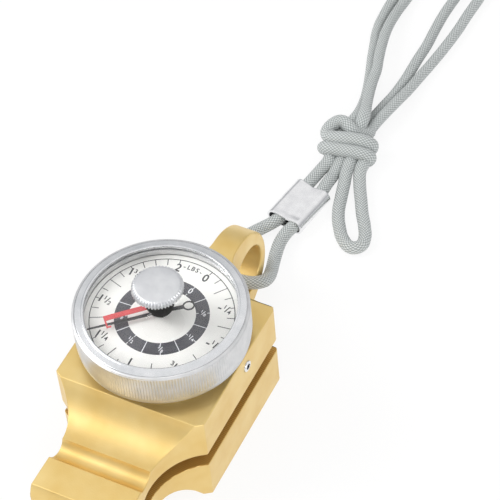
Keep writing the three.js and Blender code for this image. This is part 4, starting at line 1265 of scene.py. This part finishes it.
bm = bmesh.new()
bmesh.ops.create_cone(bm, cap_ends=True, segments=socket_sides, radius1=socket_radius,
                      radius2=socket_radius, depth=socket_depth * 2)
mouth = Matrix.Translation((screw_end, stem_y, screw_z))
bmesh.ops.transform(bm, matrix=mouth @ along_x, verts=bm.verts)
mesh = bpy.data.meshes.new("socket")
bm.to_mesh(mesh)
bm.free()
socket = bpy.data.objects.new("socket", mesh)
scene.collection.objects.link(socket)
drill(screw, socket)
apply_modifiers(screw)
bpy.data.objects.remove(socket)
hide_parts("set_screw")
print("socket", socket_depth, "m deep")

# %% [markdown]
# ## Ferrule
# A short oval aluminium tube is pressed over the two strands of the cord. The press leaves it bulged
# over each strand and pinched between them, with a few tool marks. It starts as a circle whose halves
# are pushed apart, is extruded along the cord, and is then dented by moving its points.

# %% Ferrule tube
ferrule_centre = Vector((0.0008, 0.0956, 0.00345))
ferrule_turn = math.radians(-10)
ferrule_length = 0.0182
ferrule_wall = 0.0008
ferrule_round = 0.0033
strand_offset = 0.0043
ferrule_sides = 48
ferrule_steps = 30

bm = bmesh.new()
bmesh.ops.create_circle(bm, segments=ferrule_sides, radius=ferrule_round)
bmesh.ops.rotate(bm, matrix=Matrix.Rotation(math.tau / 4, 3, "X"), verts=bm.verts)
for vertex in bm.verts:
    if abs(vertex.co.x) > merge_distance:
        vertex.co.x += math.copysign(strand_offset, vertex.co.x)
    vertex.co.y = -ferrule_length / 2
edges = bm.edges[:]
for step in range(ferrule_steps):
    made = bmesh.ops.extrude_edge_only(bm, edges=edges)["geom"]
    moved = [item for item in made if isinstance(item, bmesh.types.BMVert)]
    edges = [item for item in made if isinstance(item, bmesh.types.BMEdge) and item.is_boundary]
    bmesh.ops.translate(bm, vec=(0, ferrule_length / ferrule_steps, 0), verts=moved)
print("ferrule rings:", ferrule_steps + 1)

# %% Ferrule dents
pinch_depth = 0.0015
pinch_width = 0.0027
pinch_start_share = 0.25
under_pinch_share = 0.5
dent_depth = 0.0007
dent_width = 0.0012
dents = [(0.0016, -0.0058), (0.0040, -0.0064)]
hammer_depth = 0.00014
hammer_size = 0.005

for vertex in bm.verts:
    x, y, z = vertex.co
    along = y / ferrule_length + 0.5
    pinch = pinch_depth * (pinch_start_share + (1 - pinch_start_share) * along)
    pinch *= math.exp(-(x / pinch_width) ** 2)
    if z > 0:
        vertex.co.z -= pinch
        for dent_x, dent_y in dents:
            distance = math.hypot(x - dent_x, y - dent_y)
            vertex.co.z -= dent_depth * math.exp(-(distance / dent_width) ** 2)
    else:
        vertex.co.z += pinch * under_pinch_share
    hammered = noise.noise(Vector((x, y, z)) / hammer_size) * hammer_depth
    outward = Vector((x - math.copysign(min(abs(x), strand_offset), x), 0, z)).normalized()
    vertex.co += outward * (hammered - hammer_depth)
place = Matrix.Translation(ferrule_centre) @ Matrix.Rotation(ferrule_turn, 4, "Z")
bmesh.ops.transform(bm, matrix=place, verts=bm.verts)
clean(bm)
print("ferrule faces:", len(bm.faces))

# %% [markdown]
# Soft aluminium tube, pressed: the press polishes it, so it is the brightest metal here, with faint
# scuffs and shallow dimples. Solidify gives the tube its wall and Bevel rounds the two lips, which
# keeps the dents in one sheet of faces until they are right.

# %% Ferrule finish
pressed_dark = "eaeaec"
pressed_light = "f6f6f7"
pressed_cloud = 0.003
scuff = 0.002
dimple = 0.0025
dimple_depth = 0.00001
lip_round = 0.00012
lip_angle = math.radians(60)

pressed, tree, shader = start_material("aluminium_pressed_bright", pressed_light, metallic=1.0,
                                       roughness=0.2)
vary(tree, shader, "Base Color", pressed_cloud, pressed_dark, pressed_light)
vary(tree, shader, "Roughness", scuff, low=0.17, high=0.24)
bump(tree, shader, mottle(tree, dimple, 0.0, 1.0), dimple_depth)
ferrule = finish_object(bm, "pressed_ferrule", pressed, "lower_half")
wall = ferrule.modifiers.new("wall", "SOLIDIFY")
wall.thickness = ferrule_wall
wall.offset = -1
lip = ferrule.modifiers.new("lip", "BEVEL")
lip.width = lip_round
lip.segments = 2
lip.limit_method = "ANGLE"
lip.angle_limit = lip_angle
apply_modifiers(ferrule)
ferrule.data.set_sharp_from_angle(angle=smooth_angle)
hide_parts("ferrule")

# %% [markdown]
# ## Hands and works
# These pieces keep their CAD solids. The black pointer and the red hand are thin painted strip; the
# works inside are steel and brass, and the case behind the rim is zinc.

# %% Finishes for the kept solids
patch = 0.002
fine_patch = 0.0005
roughness_spread_share = 0.15


def plain_finish(name, light, dark, metallic, roughness):
    """A finish with a little cloudiness, for a small piece whose solid stays."""
    material, tree, shader = start_material(name, light, metallic, roughness)
    spread = roughness * roughness_spread_share
    vary(tree, shader, "Base Color", patch, dark, light)
    vary(tree, shader, "Roughness", fine_patch, roughness - spread, roughness + spread)
    return material


black_paint = plain_finish("black_enamel_sprayed", "1c1c1e", "141416", metallic=0.0, roughness=0.4)
red_paint = plain_finish("red_enamel_sprayed", "d04a4c", "c43e42", metallic=0.0, roughness=0.42)
steel = plain_finish("steel_ground", "c2c3c6", "b2b3b7", metallic=1.0, roughness=0.28)
brass = plain_finish("brass_stamped", "d3b06a", "c4a058", metallic=1.0, roughness=0.3)
zinc = plain_finish("zinc_die_cast", "b4b5b8", "a6a7ab", metallic=1.0, roughness=0.4)
steel_nodes = ["knob_spindle", "stem", "plunger", "contact_point", "plunger_spring", "rack_arbor",
               "centre_arbor"]
brass_nodes = ["centre_pinion", "crown_gear", "hairspring", "movement_plate_lower",
               "movement_plate_upper"]
for number in (1, 2, 3):
    steel_nodes.append(f"movement_screw_{number}")
    brass_nodes.append(f"movement_pillar_{number}")
kept = ((black_paint, ["pointer"]), (red_paint, ["max_hand"]), (zinc, ["indicator_case"]),
        (steel, steel_nodes), (brass, brass_nodes))
for finish, names in kept:
    for name in names:
        for material_slot in nodes[name].material_slots:
            material_slot.material = finish
print("finishes on kept solids:", sum(len(names) for finish, names in kept))

# %% [markdown]
# ## Close
# The scene keeps Blender's standard colours.

# %% Keep the standard colours
scene.view_settings.view_transform = "Standard"
